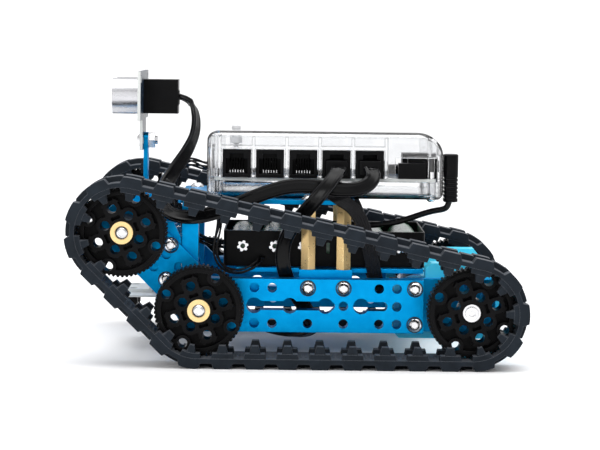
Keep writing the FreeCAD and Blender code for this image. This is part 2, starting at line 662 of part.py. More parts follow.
def sensor_mast():
    body = block(MAST_X0, BRACKET_X0, -4.0, 4.0, 38.0, MAST_TOP_Z - 4.0)
    body = body.fuse(rod_x(0, MAST_TOP_Z - 4.0, 4.0, MAST_X0, BRACKET_X0)).removeSplitter()
    cuts = [rod_x(0, 43.0 + 12.0 * step, HOLE_R, MAST_X0 - 1, BRACKET_X0 + 1) for step in range(2)]
    cuts += [rod_x(0, 64.0 + 8.0 * step, HOLE_R, MAST_X0 - 1, BRACKET_X0 + 1) for step in range(5)]
    return body.cut(cuts)


FOOT_X0 = BRACKET_X0 + SHEET
FOOT_Z = 25.6


def line_sensor_foot():
    """The bent strip behind the cross bracket that carries the line sensor."""
    upright = block(FOOT_X0, FOOT_X0 + SHEET, -12.0, 12.0, FOOT_Z, 59.0)
    shelf = block(-84.0, FOOT_X0 + SHEET, -12.0, 12.0, FOOT_Z, FOOT_Z + SHEET)
    body = upright.fuse(shelf).removeSplitter()
    cuts = [rod_x(y, z, HOLE_R, FOOT_X0 - 1, FOOT_X0 + 3) for y in (-8, 0, 8) for z in (43.0, 55.0)]
    cuts += [rod_z(-76.0, y, HOLE_R, FOOT_Z - 1, FOOT_Z + 3) for y in (-8, 8)]
    return body.cut(cuts)


# ---------------------------------------------------------------- battery
HOLDER_X0 = -33.6
HOLDER_X1 = 58.4
HOLDER_HALF_Y = 29.0
HOLDER_TOP_Z = DECK_TOP_Z + 16.2
CELL_PITCH = 15.1
CELL_R = 7.05
CELL_COUNT = 6
CELL_Z = DECK_TOP_Z + 9.0
CELL_X0 = (HOLDER_X0 + HOLDER_X1) / 2 - CELL_PITCH * (CELL_COUNT - 1) / 2
EYELET_XS = (-24.8, -10.2, 3.0, 33.7, 47.0)


def battery_holder():
    body = rounded_box(HOLDER_X0, HOLDER_X1, -HOLDER_HALF_Y, HOLDER_HALF_Y, DECK_TOP_Z,
                       HOLDER_TOP_Z, 1.5, 0)
    room = block(HOLDER_X0 + 0.6, HOLDER_X1 - 0.6, -HOLDER_HALF_Y + 2.0, HOLDER_HALF_Y - 2.0,
                 CELL_Z - 1.0, HOLDER_TOP_Z + 1)
    troughs = [rod_y(CELL_X0 + CELL_PITCH * i, CELL_Z, CELL_R + 0.3, -HOLDER_HALF_Y + 2.0,
                     HOLDER_HALF_Y - 2.0) for i in range(CELL_COUNT)]
    body = body.cut(room)
    for trough in troughs:
        body = body.cut(trough)
    holes = [rod_y(x, DECK_TOP_Z + 9.2, 1.1, -HOLDER_HALF_Y - 1, HOLDER_HALF_Y + 1)
             for x in EYELET_XS]
    slot = block(13.4, 15.0, -HOLDER_HALF_Y - 1, -HOLDER_HALF_Y + 3, DECK_TOP_Z + 6,
                 DECK_TOP_Z + 11)
    return body.cut(holes + [slot])


def battery_cells():
    cells = []
    for i in range(CELL_COUNT):
        x = CELL_X0 + CELL_PITCH * i
        flip = 1 if i % 2 else -1
        can = rod_y(x, CELL_Z, CELL_R, -24.6, 24.6)
        button = rod_y(x, CELL_Z, 2.6, flip * 24.6, flip * 25.8)
        cells.append(can.fuse(button).removeSplitter())
    return group(cells)


def eyelet(x, side):
    """A rolled contact rivet: a thin ring with six petals."""
    z = DECK_TOP_Z + 9.2
    face = side * HOLDER_HALF_Y
    ring = rod_y(x, z, 1.9, face, face + side * 0.5)
    petals = []
    for step in range(6):
        turn = math.radians(60 * step + 15)
        petals.append(rod_y(x + 1.9 * math.cos(turn), z + 1.9 * math.sin(turn), 0.75, face,
                            face + side * 0.5))
    body = ring.fuse(petals).removeSplitter()
    return body.cut(rod_y(x, z, 1.1, face - side, face + side * 2))


# ---------------------------------------------------------------- controller
def rounded_outline(corners, radii):
    """A closed flat wire through the corners, each rounded to its own radius."""
    count = len(corners)
    edges = []
    starts = []
    for index, (corner, radius) in enumerate(zip(corners, radii)):
        into = (corner - corners[index - 1]).normalize()
        out = (corners[(index + 1) % count] - corner).normalize()
        a = corner - into * radius
        b = corner + out * radius
        middle = corner + (out - into).normalize() * radius * (math.sqrt(2) - 1)
        starts.append((a, middle, b))
    for index, (a, middle, b) in enumerate(starts):
        edges.append(Part.Arc(a, middle, b).toShape())
        edges.append(Part.LineSegment(b, starts[(index + 1) % count][0]).toShape())
    return Part.Wire(edges)


def case_envelope(inset):
    """The closed outer form of the case, drawn in by inset on every side."""
    x0, x1 = CASE_FRONT_X + inset, CASE_REAR_X - inset
    half_y = CASE_HALF_Y - inset
    z0, z1 = CASE_BOTTOM_Z + inset, CASE_TOP_Z - inset
    small = CASE_SIDE_CURVE - inset
    side_view = rounded_outline([vec(x0, -half_y, z0), vec(x1, -half_y, z0), vec(x1, -half_y, z1),
                                 vec(x0, -half_y, z1)],
                                [small, small, CASE_REAR_CURVE - inset, CASE_FRONT_CURVE - inset])
    end_view = rounded_outline([vec(x0, -half_y, z0), vec(x0, half_y, z0), vec(x0, half_y, z1),
                                vec(x0, -half_y, z1)], [small] * 4)
    plan = rounded_outline([vec(x0, -half_y, z0), vec(x1, -half_y, z0), vec(x1, half_y, z0),
                            vec(x0, half_y, z0)], [CASE_CORNER - inset] * 4)
    form = Part.Face(side_view).extrude(vec(0, 2 * half_y, 0))
    form = form.common(Part.Face(end_view).extrude(vec(x1 - x0, 0, 0)))
    return form.common(Part.Face(plan).extrude(vec(0, 0, z1 - z0)))


def case_shell(z0, z1):
    """The part of the hollow case between two heights."""
    shell = case_envelope(0.0).cut(case_envelope(CASE_WALL))
    return shell.common(block(CASE_FRONT_X - 1, CASE_REAR_X + 1, -CASE_HALF_Y - 1,
                              CASE_HALF_Y + 1, z0, z1))


BOARD_Z = CASE_SEAM_Z - 1.8
BOARD_TOP_Z = BOARD_Z + BOARD_THICKNESS
JACK_X0 = -34.2
WINDOW_X0 = 44.2
WINDOW_X1 = 63.0
PLUG_Y = -22.4
PLUG_AXIS_Z = 86.5
BUTTON_PLACE = (-28.9, -2.0)
POST_R = 2.0
POST_PLACES = tuple((x, y) for x in (-36.8, 60.8) for y in (-30.2, 30.2))


def jack_spans():
    return [(JACK_X0 + JACK_PITCH * i, JACK_X0 + JACK_PITCH * i + JACK_WIDTH)
            for i in range(JACK_COUNT)]


def case_ribs(envelope):
    """Clear walls between the jacks, and the ledge over them."""
    inner_y = -CASE_HALF_Y + 15.0
    ledge_z = BOARD_TOP_Z + JACK_HEIGHT + 0.5
    gap = JACK_PITCH - JACK_WIDTH
    xs = [JACK_X0 - gap / 2 + JACK_PITCH * i for i in range(JACK_COUNT + 1)]
    ribs = [block(x - 0.6, x + 0.6, -CASE_HALF_Y, inner_y, BOARD_TOP_Z + 0.2, ledge_z + 5.0)
            for x in xs]
    ribs.append(block(xs[0], xs[-1], -CASE_HALF_Y, inner_y, ledge_z, ledge_z + 1.2))
    return [rib.common(envelope) for rib in ribs]


def case_upper():
    body = case_shell(CASE_SEAM_Z, CASE_TOP_Z + 1)
    envelope = case_envelope(CASE_WALL / 2)
    wall = (-CASE_HALF_Y - 1, -CASE_HALF_Y + 6)
    cuts = [block(x0 - 0.3, x1 + 0.3, wall[0], wall[1], BOARD_TOP_Z - 3,
                  BOARD_TOP_Z + JACK_HEIGHT + 0.3) for x0, x1 in jack_spans()]
    cuts.append(block(WINDOW_X0, WINDOW_X1, wall[0], wall[1], CASE_SEAM_Z - 1, 90.7))
    cuts.append(block(CASE_REAR_X - 4, CASE_REAR_X + 1, PLUG_Y - 4.8, PLUG_Y + 4.8,
                      CASE_SEAM_Z - 1, 91.6))
    cuts.append(block(CASE_REAR_X - 4, CASE_REAR_X + 1, -14.4, -1.6, CASE_SEAM_Z - 1, 92.6))
    cuts.append(rod_z(BUTTON_PLACE[0], BUTTON_PLACE[1], 2.3, CASE_TOP_Z - 5, CASE_TOP_Z + 1))
    cuts.append(block(CASE_REAR_X - 4, CASE_REAR_X + 1, 5.6, 14.4, 84.5, 88.5))
    body = body.fuse(case_ribs(envelope))
    for x, y in POST_PLACES:
        post = rod_z(x, y, POST_R, BOARD_TOP_Z + 0.1, CASE_TOP_Z)
        body = body.fuse(post.common(envelope))
        cuts.append(rod_z(x, y, CASE_SCREW_R + 0.05, BOARD_Z - 2, BOARD_TOP_Z + 4.0))
    for cut in cuts:
        body = body.cut(cut)
    return body


def case_lower():
    body = case_shell(CASE_BOTTOM_Z - 1, CASE_SEAM_Z)
    wall = (-CASE_HALF_Y - 1, -CASE_HALF_Y + 6)
    cuts = [block(CASE_REAR_X - 4, CASE_REAR_X + 1, PLUG_Y - 4.8, PLUG_Y + 4.8,
                  CASE_SEAM_Z - 1.5, CASE_SEAM_Z + 1)]
    cuts += [block(x0 - 0.3, x1 + 0.3, wall[0], wall[1], BOARD_TOP_Z - 3, CASE_SEAM_Z + 1)
             for x0, x1 in jack_spans()]
    cuts.append(block(WINDOW_X0, WINDOW_X1, wall[0], wall[1], CASE_SEAM_Z - 1.4, CASE_SEAM_Z + 1))
    for x, y in POST_PLACES:
        body = body.fuse(rod_z(x, y, POST_R, CASE_BOTTOM_Z + 0.5, BOARD_Z - 0.1))
        cuts.append(rod_z(x, y, CASE_SCREW_R + 0.05, CASE_BOTTOM_Z - 1, BOARD_Z + 1))
    for cut in cuts:
        body = body.cut(cut)
    return body


def main_board():
    body = rounded_box(CASE_FRONT_X + 2.4, CASE_REAR_X - 2.4, -CASE_HALF_Y + 2.4,
                       CASE_HALF_Y - 2.4, BOARD_Z, BOARD_TOP_Z, 4.2, 0)
    return body.cut([rod_z(x, y, CASE_SCREW_R + 0.05, BOARD_Z - 1, BOARD_TOP_Z + 1)
                     for x, y in POST_PLACES])


def modular_jack(x0, depth=14.0):
    """A six-way jack on the board, with its mouth at the case wall."""
    face = -CASE_HALF_Y + 0.4
    mid = x0 + JACK_WIDTH / 2
    body = block(x0, x0 + JACK_WIDTH, face, face + depth, BOARD_TOP_Z, BOARD_TOP_Z + JACK_HEIGHT)
    mouth = block(mid - 5.0, mid + 5.0, face - 1, face + 11.0, BOARD_TOP_Z + 1.6,
                  BOARD_TOP_Z + 8.6)
    latch = block(mid - 3.2, mid + 3.2, face - 1, face + 9.0, BOARD_TOP_Z + 8.5,
                  BOARD_TOP_Z + 10.9)
    return body.cut([mouth, latch])


DISTANCE_X = MAST_X0
DISTANCE_Z = 116.8
DISTANCE_REAR_X = -56.0


def distance_jack():
    """The jack behind the distance sensor, with its mouth to the rear."""
    body = block(DISTANCE_X, DISTANCE_REAR_X, -6.5, 6.5, 108.6, 124.4)
    mouth = block(DISTANCE_X + 4.0, DISTANCE_REAR_X + 1.0, -5.0, 5.0, 112.4, 119.6)
    return body.cut(mouth)


def line_jack():
    return block(-62.0, -50.4, -6.5, 6.5, 18.0, 24.6)


def modular_jacks():
    jacks = [modular_jack(x0) for x0, x1 in jack_spans()]
    dc_socket = block(CASE_REAR_X - 16.0, CASE_REAR_X - 2.1, PLUG_Y - 4.4, PLUG_Y + 4.4,
                      BOARD_TOP_Z, BOARD_TOP_Z + 9.5)
    dc_socket = dc_socket.cut(rod_x(PLUG_Y, PLUG_AXIS_Z, 3.3, CASE_REAR_X - 13.0, CASE_REAR_X))
    usb = block(CASE_REAR_X - 18.0, CASE_REAR_X - 2.2, -14.0, -2.0, BOARD_TOP_Z,
                BOARD_TOP_Z + 10.5)
    usb = usb.cut(block(CASE_REAR_X - 15.0, CASE_REAR_X, -12.6, -3.4, BOARD_TOP_Z + 1.4,
                        BOARD_TOP_Z + 8.6))
    motor_socket = block(WINDOW_X0 + 1.4, WINDOW_X1 - 4.9, -33.0, -27.4, BOARD_TOP_Z,
                         BOARD_TOP_Z + 7.0)
    return group(jacks + [dc_socket, usb, motor_socket, distance_jack(), line_jack()])


def board_chips():
    """Chips and small parts on the boards, and the line sensor's optical pairs."""
    places = [(-24, 10, 9, 9, 1.6), (2, 4, 12, 12, 1.6), (22, 6, 6, 8, 1.8), (36, -6, 8, 6, 2.2),
              (-24, -10, 5, 4, 2.6), (8, -12, 7, 3, 2.4), (22, -12, 5, 5, 3.2),
              (46, 8, 7, 10, 4.0), (36, 12, 5, 5, 5.5)]
    chips = [block(x - w / 2, x + w / 2, y - d / 2, y + d / 2, BOARD_TOP_Z, BOARD_TOP_Z + h)
             for x, y, w, d, h in places]
    eyes = [block(-79.0, -74.0, y - 3.2, y + 3.2, 18.6, 24.7) for y in (-9.0, 9.0)]
    slider_base = block(CASE_REAR_X - 7.0, CASE_REAR_X - 2.6, 4.0, 16.0, BOARD_TOP_Z,
                        BOARD_TOP_Z + 5.6)
    slider_base = slider_base.cut(block(CASE_REAR_X - 4.4, CASE_REAR_X, 5.6, 14.4, 84.8, 88.2))
    button_base = block(BUTTON_PLACE[0] - 3, BUTTON_PLACE[0] + 3, BUTTON_PLACE[1] - 3,
                        BUTTON_PLACE[1] + 3, BOARD_TOP_Z, BOARD_TOP_Z + 3.5)
    return group(chips + eyes + [slider_base, button_base])


def power_switch():
    """The slider's tab, at its off end."""
    return block(CASE_REAR_X - 4.2, CASE_REAR_X + 1.4, 6.0, 10.0, 85.2, 87.8)


def reset_button():
    cap = rod_z(BUTTON_PLACE[0], BUTTON_PLACE[1], 2.0, CASE_TOP_Z - 7.0, CASE_TOP_Z + 1.0)
    collar = rod_z(BUTTON_PLACE[0], BUTTON_PLACE[1], 2.9, CASE_TOP_Z - 7.0, CASE_TOP_Z - 3.0)
    stem = rod_z(BUTTON_PLACE[0], BUTTON_PLACE[1], 1.2, BOARD_TOP_Z + 4.7, CASE_TOP_Z - 6.0)
    return cap.fuse([collar, stem]).removeSplitter()


DC_PLUG_TOP_Z = 92.2
DC_PLUG_BOTTOM_Z = 70.3


def dc_plug():
    """Right-angle power plug: an upright grip with ribs on its lower half, and a barrel."""
    grip = rounded_box(CASE_REAR_X + 0.5, CASE_REAR_X + 7.1, PLUG_Y - 4.6, PLUG_Y + 4.6,
                       DC_PLUG_BOTTOM_Z, DC_PLUG_TOP_Z, 2.6, 0.6)
    grooves = []
    for step in range(6):
        z = DC_PLUG_BOTTOM_Z + 1.6 + 1.8 * step
        ring = block(CASE_REAR_X, CASE_REAR_X + 8, PLUG_Y - 6, PLUG_Y + 6, z, z + 0.8)
        core = block(CASE_REAR_X + 1.0, CASE_REAR_X + 6.6, PLUG_Y - 4.1, PLUG_Y + 4.1, z - 1, z + 2)
        grooves.append(ring.cut(core))
    for groove in grooves:
        grip = grip.cut(groove)
    barrel = rod_x(PLUG_Y, PLUG_AXIS_Z, 2.75, CASE_REAR_X - 10.0, CASE_REAR_X + 1.0)
    return grip.fuse(barrel).removeSplitter()


# ---------------------------------------------------------------- sensors
def distance_board():
    """Upright board of the distance sensor, with the tab that bolts to the mast."""
    body = block(MAST_X0 - 1.4, MAST_X0, -28.0, 28.0, 105.9, 128.3)
    tab = block(MAST_X0 - 1.4, MAST_X0, -12.0, 12.0, 91.7, 106.0)
    body = body.fuse(tab).removeSplitter()
    places = [(-24.0, 124.6), (24.0, 124.6), (-8.0, MAST_SCREW_Z), (0.0, MAST_SCREW_Z),
              (8.0, MAST_SCREW_Z)]
    return body.cut([rod_x(y, z, HOLE_R, MAST_X0 - 3, MAST_X0 + 2) for y, z in places])


def transducer(y):
    """One open-faced can with its gauze set back inside the rim."""
    front = MAST_X0 - 1.4 - 12.3
    body = rod_x(y, DISTANCE_Z, 8.2, front, MAST_X0 - 1.4)
    return body.cut(rod_x(y, DISTANCE_Z, 7.3, front - 1, front + 1.4))


def line_board():
    body = block(-81.0, -50.5, -24.0, 24.0, 24.7, 24.7 + 0.8)
    cuts = [rod_z(-76.0, y, HOLE_R, 20, 30) for y in (-8, 8)]
    return body.cut(cuts)


# ---------------------------------------------------------------- cables
def tube(points, diameter, label):
    """Straight runs joined by tangent arcs, each as large as its two runs allow."""
    corners = [vec(*p) for p in points]
    edges = []
    radii = []
    start = corners[0]
    for before, here, after in zip(corners, corners[1:], corners[2:]):
        into = (here - before)
        out = (after - here)
        short = min(into.Length, out.Length)
        cut = 0.45 * short
        a = here - into.normalize() * cut
        b = here + out.normalize() * cut
        turn = into.getAngle(out)
        radius = cut / math.tan(turn / 2)
        radii.append(radius)
        bisector = (out - into).normalize()
        to_centre = math.hypot(cut, radius)
        middle = here + bisector * (to_centre - radius)
        edges.append(Part.LineSegment(start, a).toShape())
        edges.append(Part.Arc(a, middle, b).toShape())
        start = b
    edges.append(Part.LineSegment(start, corners[-1]).toShape())
    path = Part.Wire(edges)
    direction = corners[1] - corners[0]
    section = Part.Wire(Part.makeCircle(diameter / 2, corners[0], direction))
    body = path.makePipeShell([section], True, True)
    area = math.pi * diameter ** 2 / 4
    ratio = body.Volume / (area * path.Length)
    print(label, "length", round(path.Length, 1), "tightest", round(min(radii), 1),
          "volume ratio", round(ratio, 4), "radii", [round(r, 1) for r in radii])
    return body


FLAT_TUBE = 2.6
RIBBON_TUBE = 2.4
LEAD_TUBE = 2.8
THIN_TUBE = 2.0

JACK4_X = JACK_X0 + JACK_PITCH * 3 + JACK_WIDTH / 2
JACK5_X = JACK_X0 + JACK_PITCH * 4 + JACK_WIDTH / 2
PLUG_Z = BOARD_TOP_Z + 5.0
PLUG_FACE_Y = -CASE_HALF_Y - 3.0

DISTANCE_ROUTE = [(-55.6, 0.0, 116.4), (-51.8, -0.6, 115.4), (-48.8, -1.6, 111.8),
                  (-47.4, -3.0, 105.8), (-48.0, -6.0, 98.8), (-51.2, -10.4, 91.6),
                  (-55.8, -15.6, 84.6), (-60.0, -22.0, 78.2), (-62.4, -29.6, 72.0),
                  (-61.2, -37.6, 67.0), (-55.6, -44.2, 64.2), (-46.4, -48.2, 63.8),
                  (-36.0, -49.4, 66.4), (-25.6, -49.4, 70.8), (-14.8, -48.4, 75.4),
                  (-3.6, -46.8, 78.6), (8.4, -46.0, 78.4), (19.6, -45.8, 76.6),
                  (28.6, -45.6, 77.4), (33.4, -44.4, 80.8), (34.0, -41.6, 84.4),
                  (JACK5_X, PLUG_FACE_Y, PLUG_Z)]
LINE_ROUTE = [(JACK4_X, PLUG_FACE_Y, PLUG_Z), (18.4, -42.4, 86.4), (17.6, -47.4, 84.6),
              (14.4, -51.2, 80.4), (9.4, -52.2, 74.4), (3.8, -50.8, 67.8), (-1.8, -47.4, 61.0),
              (-5.6, -43.0, 54.0), (-6.8, -40.4, 46.6), (-5.8, -39.4, 39.2), (-2.8, -37.6, 32.0),
              (1.6, -34.2, 25.2), (6.2, -30.0, 18.4), (8.6, -25.0, 12.2), (6.2, -19.6, 8.0),
              (-0.8, -14.8, 6.6), (-9.6, -10.8, 7.6), (-19.4, -7.2, 10.0), (-28.6, -3.8, 13.6),
              (-36.6, -1.4, 17.4), (-44.0, -0.3, 20.6), (-50.4, 0.0, 21.4)]
RIBBON_ROUTE = [(12.0, CASE_HALF_Y, 76.0), (12.3, 38.2, 75.8), (14.4, 41.6, 74.4),
                (19.0, 44.6, 72.4), (24.4, 46.2, 69.4), (28.4, 46.4, 63.8), (30.8, 45.2, 56.8),
                (32.6, 42.8, 50.2), (34.0, 40.2, 43.6), (35.6, 38.6, 36.8), (37.2, 35.4, 30.8),
                (38.2, 30.0, 27.0), (38.0, 23.4, 25.4), (37.2, 16.6, 25.2), (37.6, 10.2, 26.2),
                (40.2, 5.6, 26.9), (MOTOR[0] - CAN_HALF_X - 3.0, 3.9, 27.0)]
LEAD_ROUTE = [(69.6, PLUG_Y, DC_PLUG_BOTTOM_Z), (69.0, -22.4, 67.9), (66.9, -22.4, 66.7),
              (62.4, -22.4, 66.0), (57.6, -22.4, 64.6), (52.6, -22.3, 62.8), (47.2, -22.2, 61.0),
              (41.8, -22.2, 59.9), (37.0, -22.2, 59.3), (33.0, -22.2, 59.0)]
THIN_ROUTE = [(-15.9, -HOLDER_HALF_Y, 44.4), (-16.2, -32.4, 44.3), (-17.6, -36.2, 42.6),
              (-20.8, -38.4, 40.2), (-25.8, -39.4, 38.4), (-31.0, -39.6, 39.2),
              (-34.8, -39.0, 41.8), (-37.0, -38.6, 46.6), (-37.2, -38.2, 51.8),
              (-35.8, -37.8, 57.0), (-35.0, -37.0, 62.4), (-35.6, -36.0, CONTROLLER_Z)]
BUNDLE_ROUTE = [(CASE_FRONT_X, 8.0, 83.4), (-44.4, 8.0, 83.8), (-47.6, 8.0, 85.0),
                (-51.4, 8.0, 85.6), (-55.0, 8.0, 83.8), (-57.4, 8.0, 79.8), (-58.0, 8.2, 74.4),
                (-57.6, 8.6, 68.0), (-55.8, 9.0, 61.4), (-52.6, 9.4, 55.4), (-48.4, 9.6, 50.6),
                (-43.4, 9.6, 47.8), (-38.4, 9.6, 46.6), (HOLDER_X0, 9.6, 46.4)]


def flip_route(points, side):
    return [(x, side * y, z) for x, y, z in points]


def cable_plugs():
    """Plugs of the flat cables and the lead block on the battery holder."""
    plugs = []
    for x in (JACK4_X, JACK5_X):
        plugs.append(block(x - 4.8, x + 4.8, PLUG_FACE_Y, -24.6, BOARD_TOP_Z + 1.9,
                           BOARD_TOP_Z + 8.2))
    plugs.append(block(-67.8, DISTANCE_REAR_X + 0.4, -4.8, 4.8, 112.8, 119.2))
    block_top = rounded_box(22.4, 33.0, -28.0, -17.0, HOLDER_TOP_Z, 61.0, 1.2, 0.5)
    plugs.append(block_top)
    return group(plugs)


# ---------------------------------------------------------------- fasteners
def screw_group():
    screws = []
    for side in SIDES.values():
        for x, z in SCREWED_HOLES:
            depth = 0.8 + BEAM_THICKNESS + (PLATE_THICKNESS if x == 96 else SHEET + NUT_H + 0.6)
            screws.append(place(button_screw(depth),
                                (FRONT_X + x, side * (BEAM_OUTER_Y + 0.8), AXLE_HEIGHT + z),
                                (0, side, 0)))
        for a, b in ARM_SCREWS:
            x, z = arm_point(a, b)
            depth = 0.8 + PLATE_THICKNESS + SHEET + NUT_H + 0.6
            screws.append(place(button_screw(depth), (x, side * (BEAM_INNER_Y + 0.8), z),
                                (0, side, 0)))
        for x in STANDOFF_XS:
            screws.append(place(button_screw(7.0), (x, side * STANDOFF_Y, CONTROLLER_TOP_Z),
                                (0, 0, 1)))
        screws.append(place(button_screw(8.0), (COLUMN_MID_X, side * COLUMN_MID_Y,
                                                CONTROLLER_TOP_Z), (0, 0, 1)))
    for z in (43.0, 55.0):
        screws.append(place(button_screw(FOOT_X0 + SHEET + NUT_H + 0.6 - MAST_X0),
                            (MAST_X0, 0, z), (-1, 0, 0)))
    screws.append(place(button_screw(7.8), (MAST_X0 - 1.4, 0, MAST_SCREW_Z), (-1, 0, 0)))
    for x, y in POST_PLACES:
        screws.append(place(button_screw(12.5, head_r=2.2, head_h=1.3, shank_r=CASE_SCREW_R,
                                         socket_r=0.8), (x, y, CASE_BOTTOM_Z), (0, 0, -1)))
    return group(screws)


def washer_group():
    washers = []
    for side in SIDES.values():
        for x, z in SCREWED_HOLES:
            washers.append(place(washer(), (FRONT_X + x, side * BEAM_OUTER_Y, AXLE_HEIGHT + z),
                                 (0, side, 0)))
        for a, b in ARM_SCREWS:
            x, z = arm_point(a, b)
            washers.append(place(washer(), (x, side * BEAM_INNER_Y, z), (0, side, 0)))
    return group(washers)


def nut_group():
    nuts = []
    for side in SIDES.values():
        for x, z in SCREWED_HOLES[:2]:
            nuts.append(place(hex_nut(), (FRONT_X + x, side * (BEAM_INNER_Y - SHEET),
                                          AXLE_HEIGHT + z), (0, -side, 0)))
        for a, b in ARM_SCREWS:
            x, z = arm_point(a, b)
            nuts.append(place(hex_nut(), (x, side * (ARM_INNER_Y - SHEET), z), (0, -side, 0)))
        for centre in (LOWER, UPPER):
            nuts.append(place(hex_nut(), (centre[0], side * ARM_INNER_Y, centre[1]),
                              (0, -side, 0)))
    for z in (43.0, 55.0):
        nuts.append(place(hex_nut(), (FOOT_X0 + SHEET, 0, z), (1, 0, 0)))
    nuts.append(place(hex_nut(), (BRACKET_X0, 0, MAST_SCREW_Z), (1, 0, 0)))
    return group(nuts)


# ---------------------------------------------------------------- build
def build():
    os.makedirs("parts", exist_ok=True)
    for name, side in SIDES.items():
        keep("track_" + name, track(side))
        idler_bore = SLEEVE_R + SPIN_CLEARANCE
        keep("wheel_front_upper_" + name, wheel(UPPER, side, -21.5, idler_bore, idler_bore))
        keep("wheel_front_lower_" + name, wheel(LOWER, side, -26, idler_bore, idler_bore))
        keep("wheel_rear_" + name, wheel(REAR, side, -26, SLEEVE_R, 4.8))
        keep("drive_shaft_" + name, drive_shaft(side))
        keep("gear_cluster_" + name, gear_cluster(side))
        keep("motor_rotor_" + name, motor_rotor(side))
        keep("gearbox_" + name, gearbox(side))
        keep("side_beam_" + name, side_beam(side))
        keep("front_arm_" + name, front_arm(side))
        keep("motor_ribbon_" + name, tube(flip_route(RIBBON_ROUTE, side), RIBBON_TUBE, name))
    both = SIDES.values()
    keep("motor_cans", group(motor_can(side) for side in both))
    keep("encoder_covers", group(encoder_cover(side) for side in both))
    keep("motor_plates", group(motor_plate(side) for side in both))
    keep("axle_sleeves", group(axle_sleeve(c, s, outer) for c, s, outer, inner in idler_places()))
    keep("axle_spacers", group(axle_spacer(c, s, outer) for c, s, outer, inner in idler_places()))
    keep("axle_screws", group(axle_screw(c, s, inner) for c, s, outer, inner in idler_places()))
    keep("front_cross_bracket", front_cross_bracket())
    keep("front_columns", group(front_column(side) for side in both))
    keep("deck_brackets", group(deck_bracket(side) for side in both))
    keep("deck", deck())
    keep("controller_plate", controller_plate())
    keep("hex_standoffs", group(hex_standoff(x, side) for side in both for x in STANDOFF_XS))
    keep("sensor_mast", sensor_mast())
    keep("line_sensor_foot", line_sensor_foot())
    keep("button_screws", screw_group())
    keep("washers", washer_group())
    keep("nuts", nut_group())
    keep("battery_holder", battery_holder())
    keep("battery_cells", battery_cells())
    keep("battery_eyelets", group(eyelet(x, side) for side in both for x in EYELET_XS))
    keep("case_lower", case_lower())
    keep("case_upper", case_upper())
    keep("main_board", main_board())
    keep("modular_jacks", modular_jacks())
    keep("board_chips", board_chips())
    keep("power_switch", power_switch())
    keep("reset_button", reset_button())
    keep("dc_plug", dc_plug())
    keep("distance_board", distance_board())
    keep("transducers", group(transducer(y) for y in (-13.0, 13.0)))
    keep("line_board", line_board())
    keep("distance_cable", tube(DISTANCE_ROUTE, FLAT_TUBE, "distance_cable"))
    keep("line_cable", tube(LINE_ROUTE, FLAT_TUBE, "line_cable"))
    keep("power_lead", tube(LEAD_ROUTE, LEAD_TUBE, "power_lead"))
    keep("battery_leads", tube(THIN_ROUTE, THIN_TUBE, "battery_leads"))
    keep("front_bundle", tube(BUNDLE_ROUTE, THIN_TUBE, "front_bundle"))
    keep("cable_plugs", cable_plugs())


build()
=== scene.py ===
import math

import bpy
import bmesh
from mathutils import Matrix, Vector


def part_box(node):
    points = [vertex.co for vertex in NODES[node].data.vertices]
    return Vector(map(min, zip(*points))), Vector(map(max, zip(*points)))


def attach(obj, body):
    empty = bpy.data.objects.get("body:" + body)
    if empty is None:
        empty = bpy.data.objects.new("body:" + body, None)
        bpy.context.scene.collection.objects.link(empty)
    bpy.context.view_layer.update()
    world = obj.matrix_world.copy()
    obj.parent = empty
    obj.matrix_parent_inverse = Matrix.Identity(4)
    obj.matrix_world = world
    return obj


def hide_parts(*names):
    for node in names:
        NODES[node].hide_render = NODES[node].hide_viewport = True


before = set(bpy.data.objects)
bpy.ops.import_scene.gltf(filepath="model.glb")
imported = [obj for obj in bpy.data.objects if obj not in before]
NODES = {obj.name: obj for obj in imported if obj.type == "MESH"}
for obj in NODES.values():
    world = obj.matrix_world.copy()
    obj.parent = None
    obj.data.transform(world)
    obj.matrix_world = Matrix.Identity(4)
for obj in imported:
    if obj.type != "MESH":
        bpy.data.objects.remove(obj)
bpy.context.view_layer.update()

MM = 0.001


# ---------------------------------------------------------------- camera
CAMERA_PLACE = (-0.0059, -1.0056, 0.1455)
CAMERA_YAW = 0.0073
CAMERA_PITCH = 0.0880
CAMERA_ROLL = 0.0124
LENS_MM = 128.8
SENSOR_MM = 36.0
NEAREST, FARTHEST = 0.05, 20.0


def make_camera():
    data = bpy.data.cameras.new("photo_camera")
    data.lens = LENS_MM
    data.sensor_width = SENSOR_MM
    data.clip_start = NEAREST
    data.clip_end = FARTHEST
    camera = bpy.data.objects.new("photo_camera", data)
    bpy.context.scene.collection.objects.link(camera)
    forward = Vector((math.sin(CAMERA_YAW) * math.cos(CAMERA_PITCH),
                      math.cos(CAMERA_YAW) * math.cos(CAMERA_PITCH),
                      -math.sin(CAMERA_PITCH)))
    right = Vector((math.cos(CAMERA_YAW), -math.sin(CAMERA_YAW), 0.0))
    up = right.cross(forward)
    turn = Matrix((right, up, -forward)).transposed()
    turn = turn @ Matrix.Rotation(CAMERA_ROLL, 3, "Z")
    camera.matrix_world = Matrix.Translation(CAMERA_PLACE) @ turn.to_4x4()
    bpy.context.scene.camera = camera


make_camera()


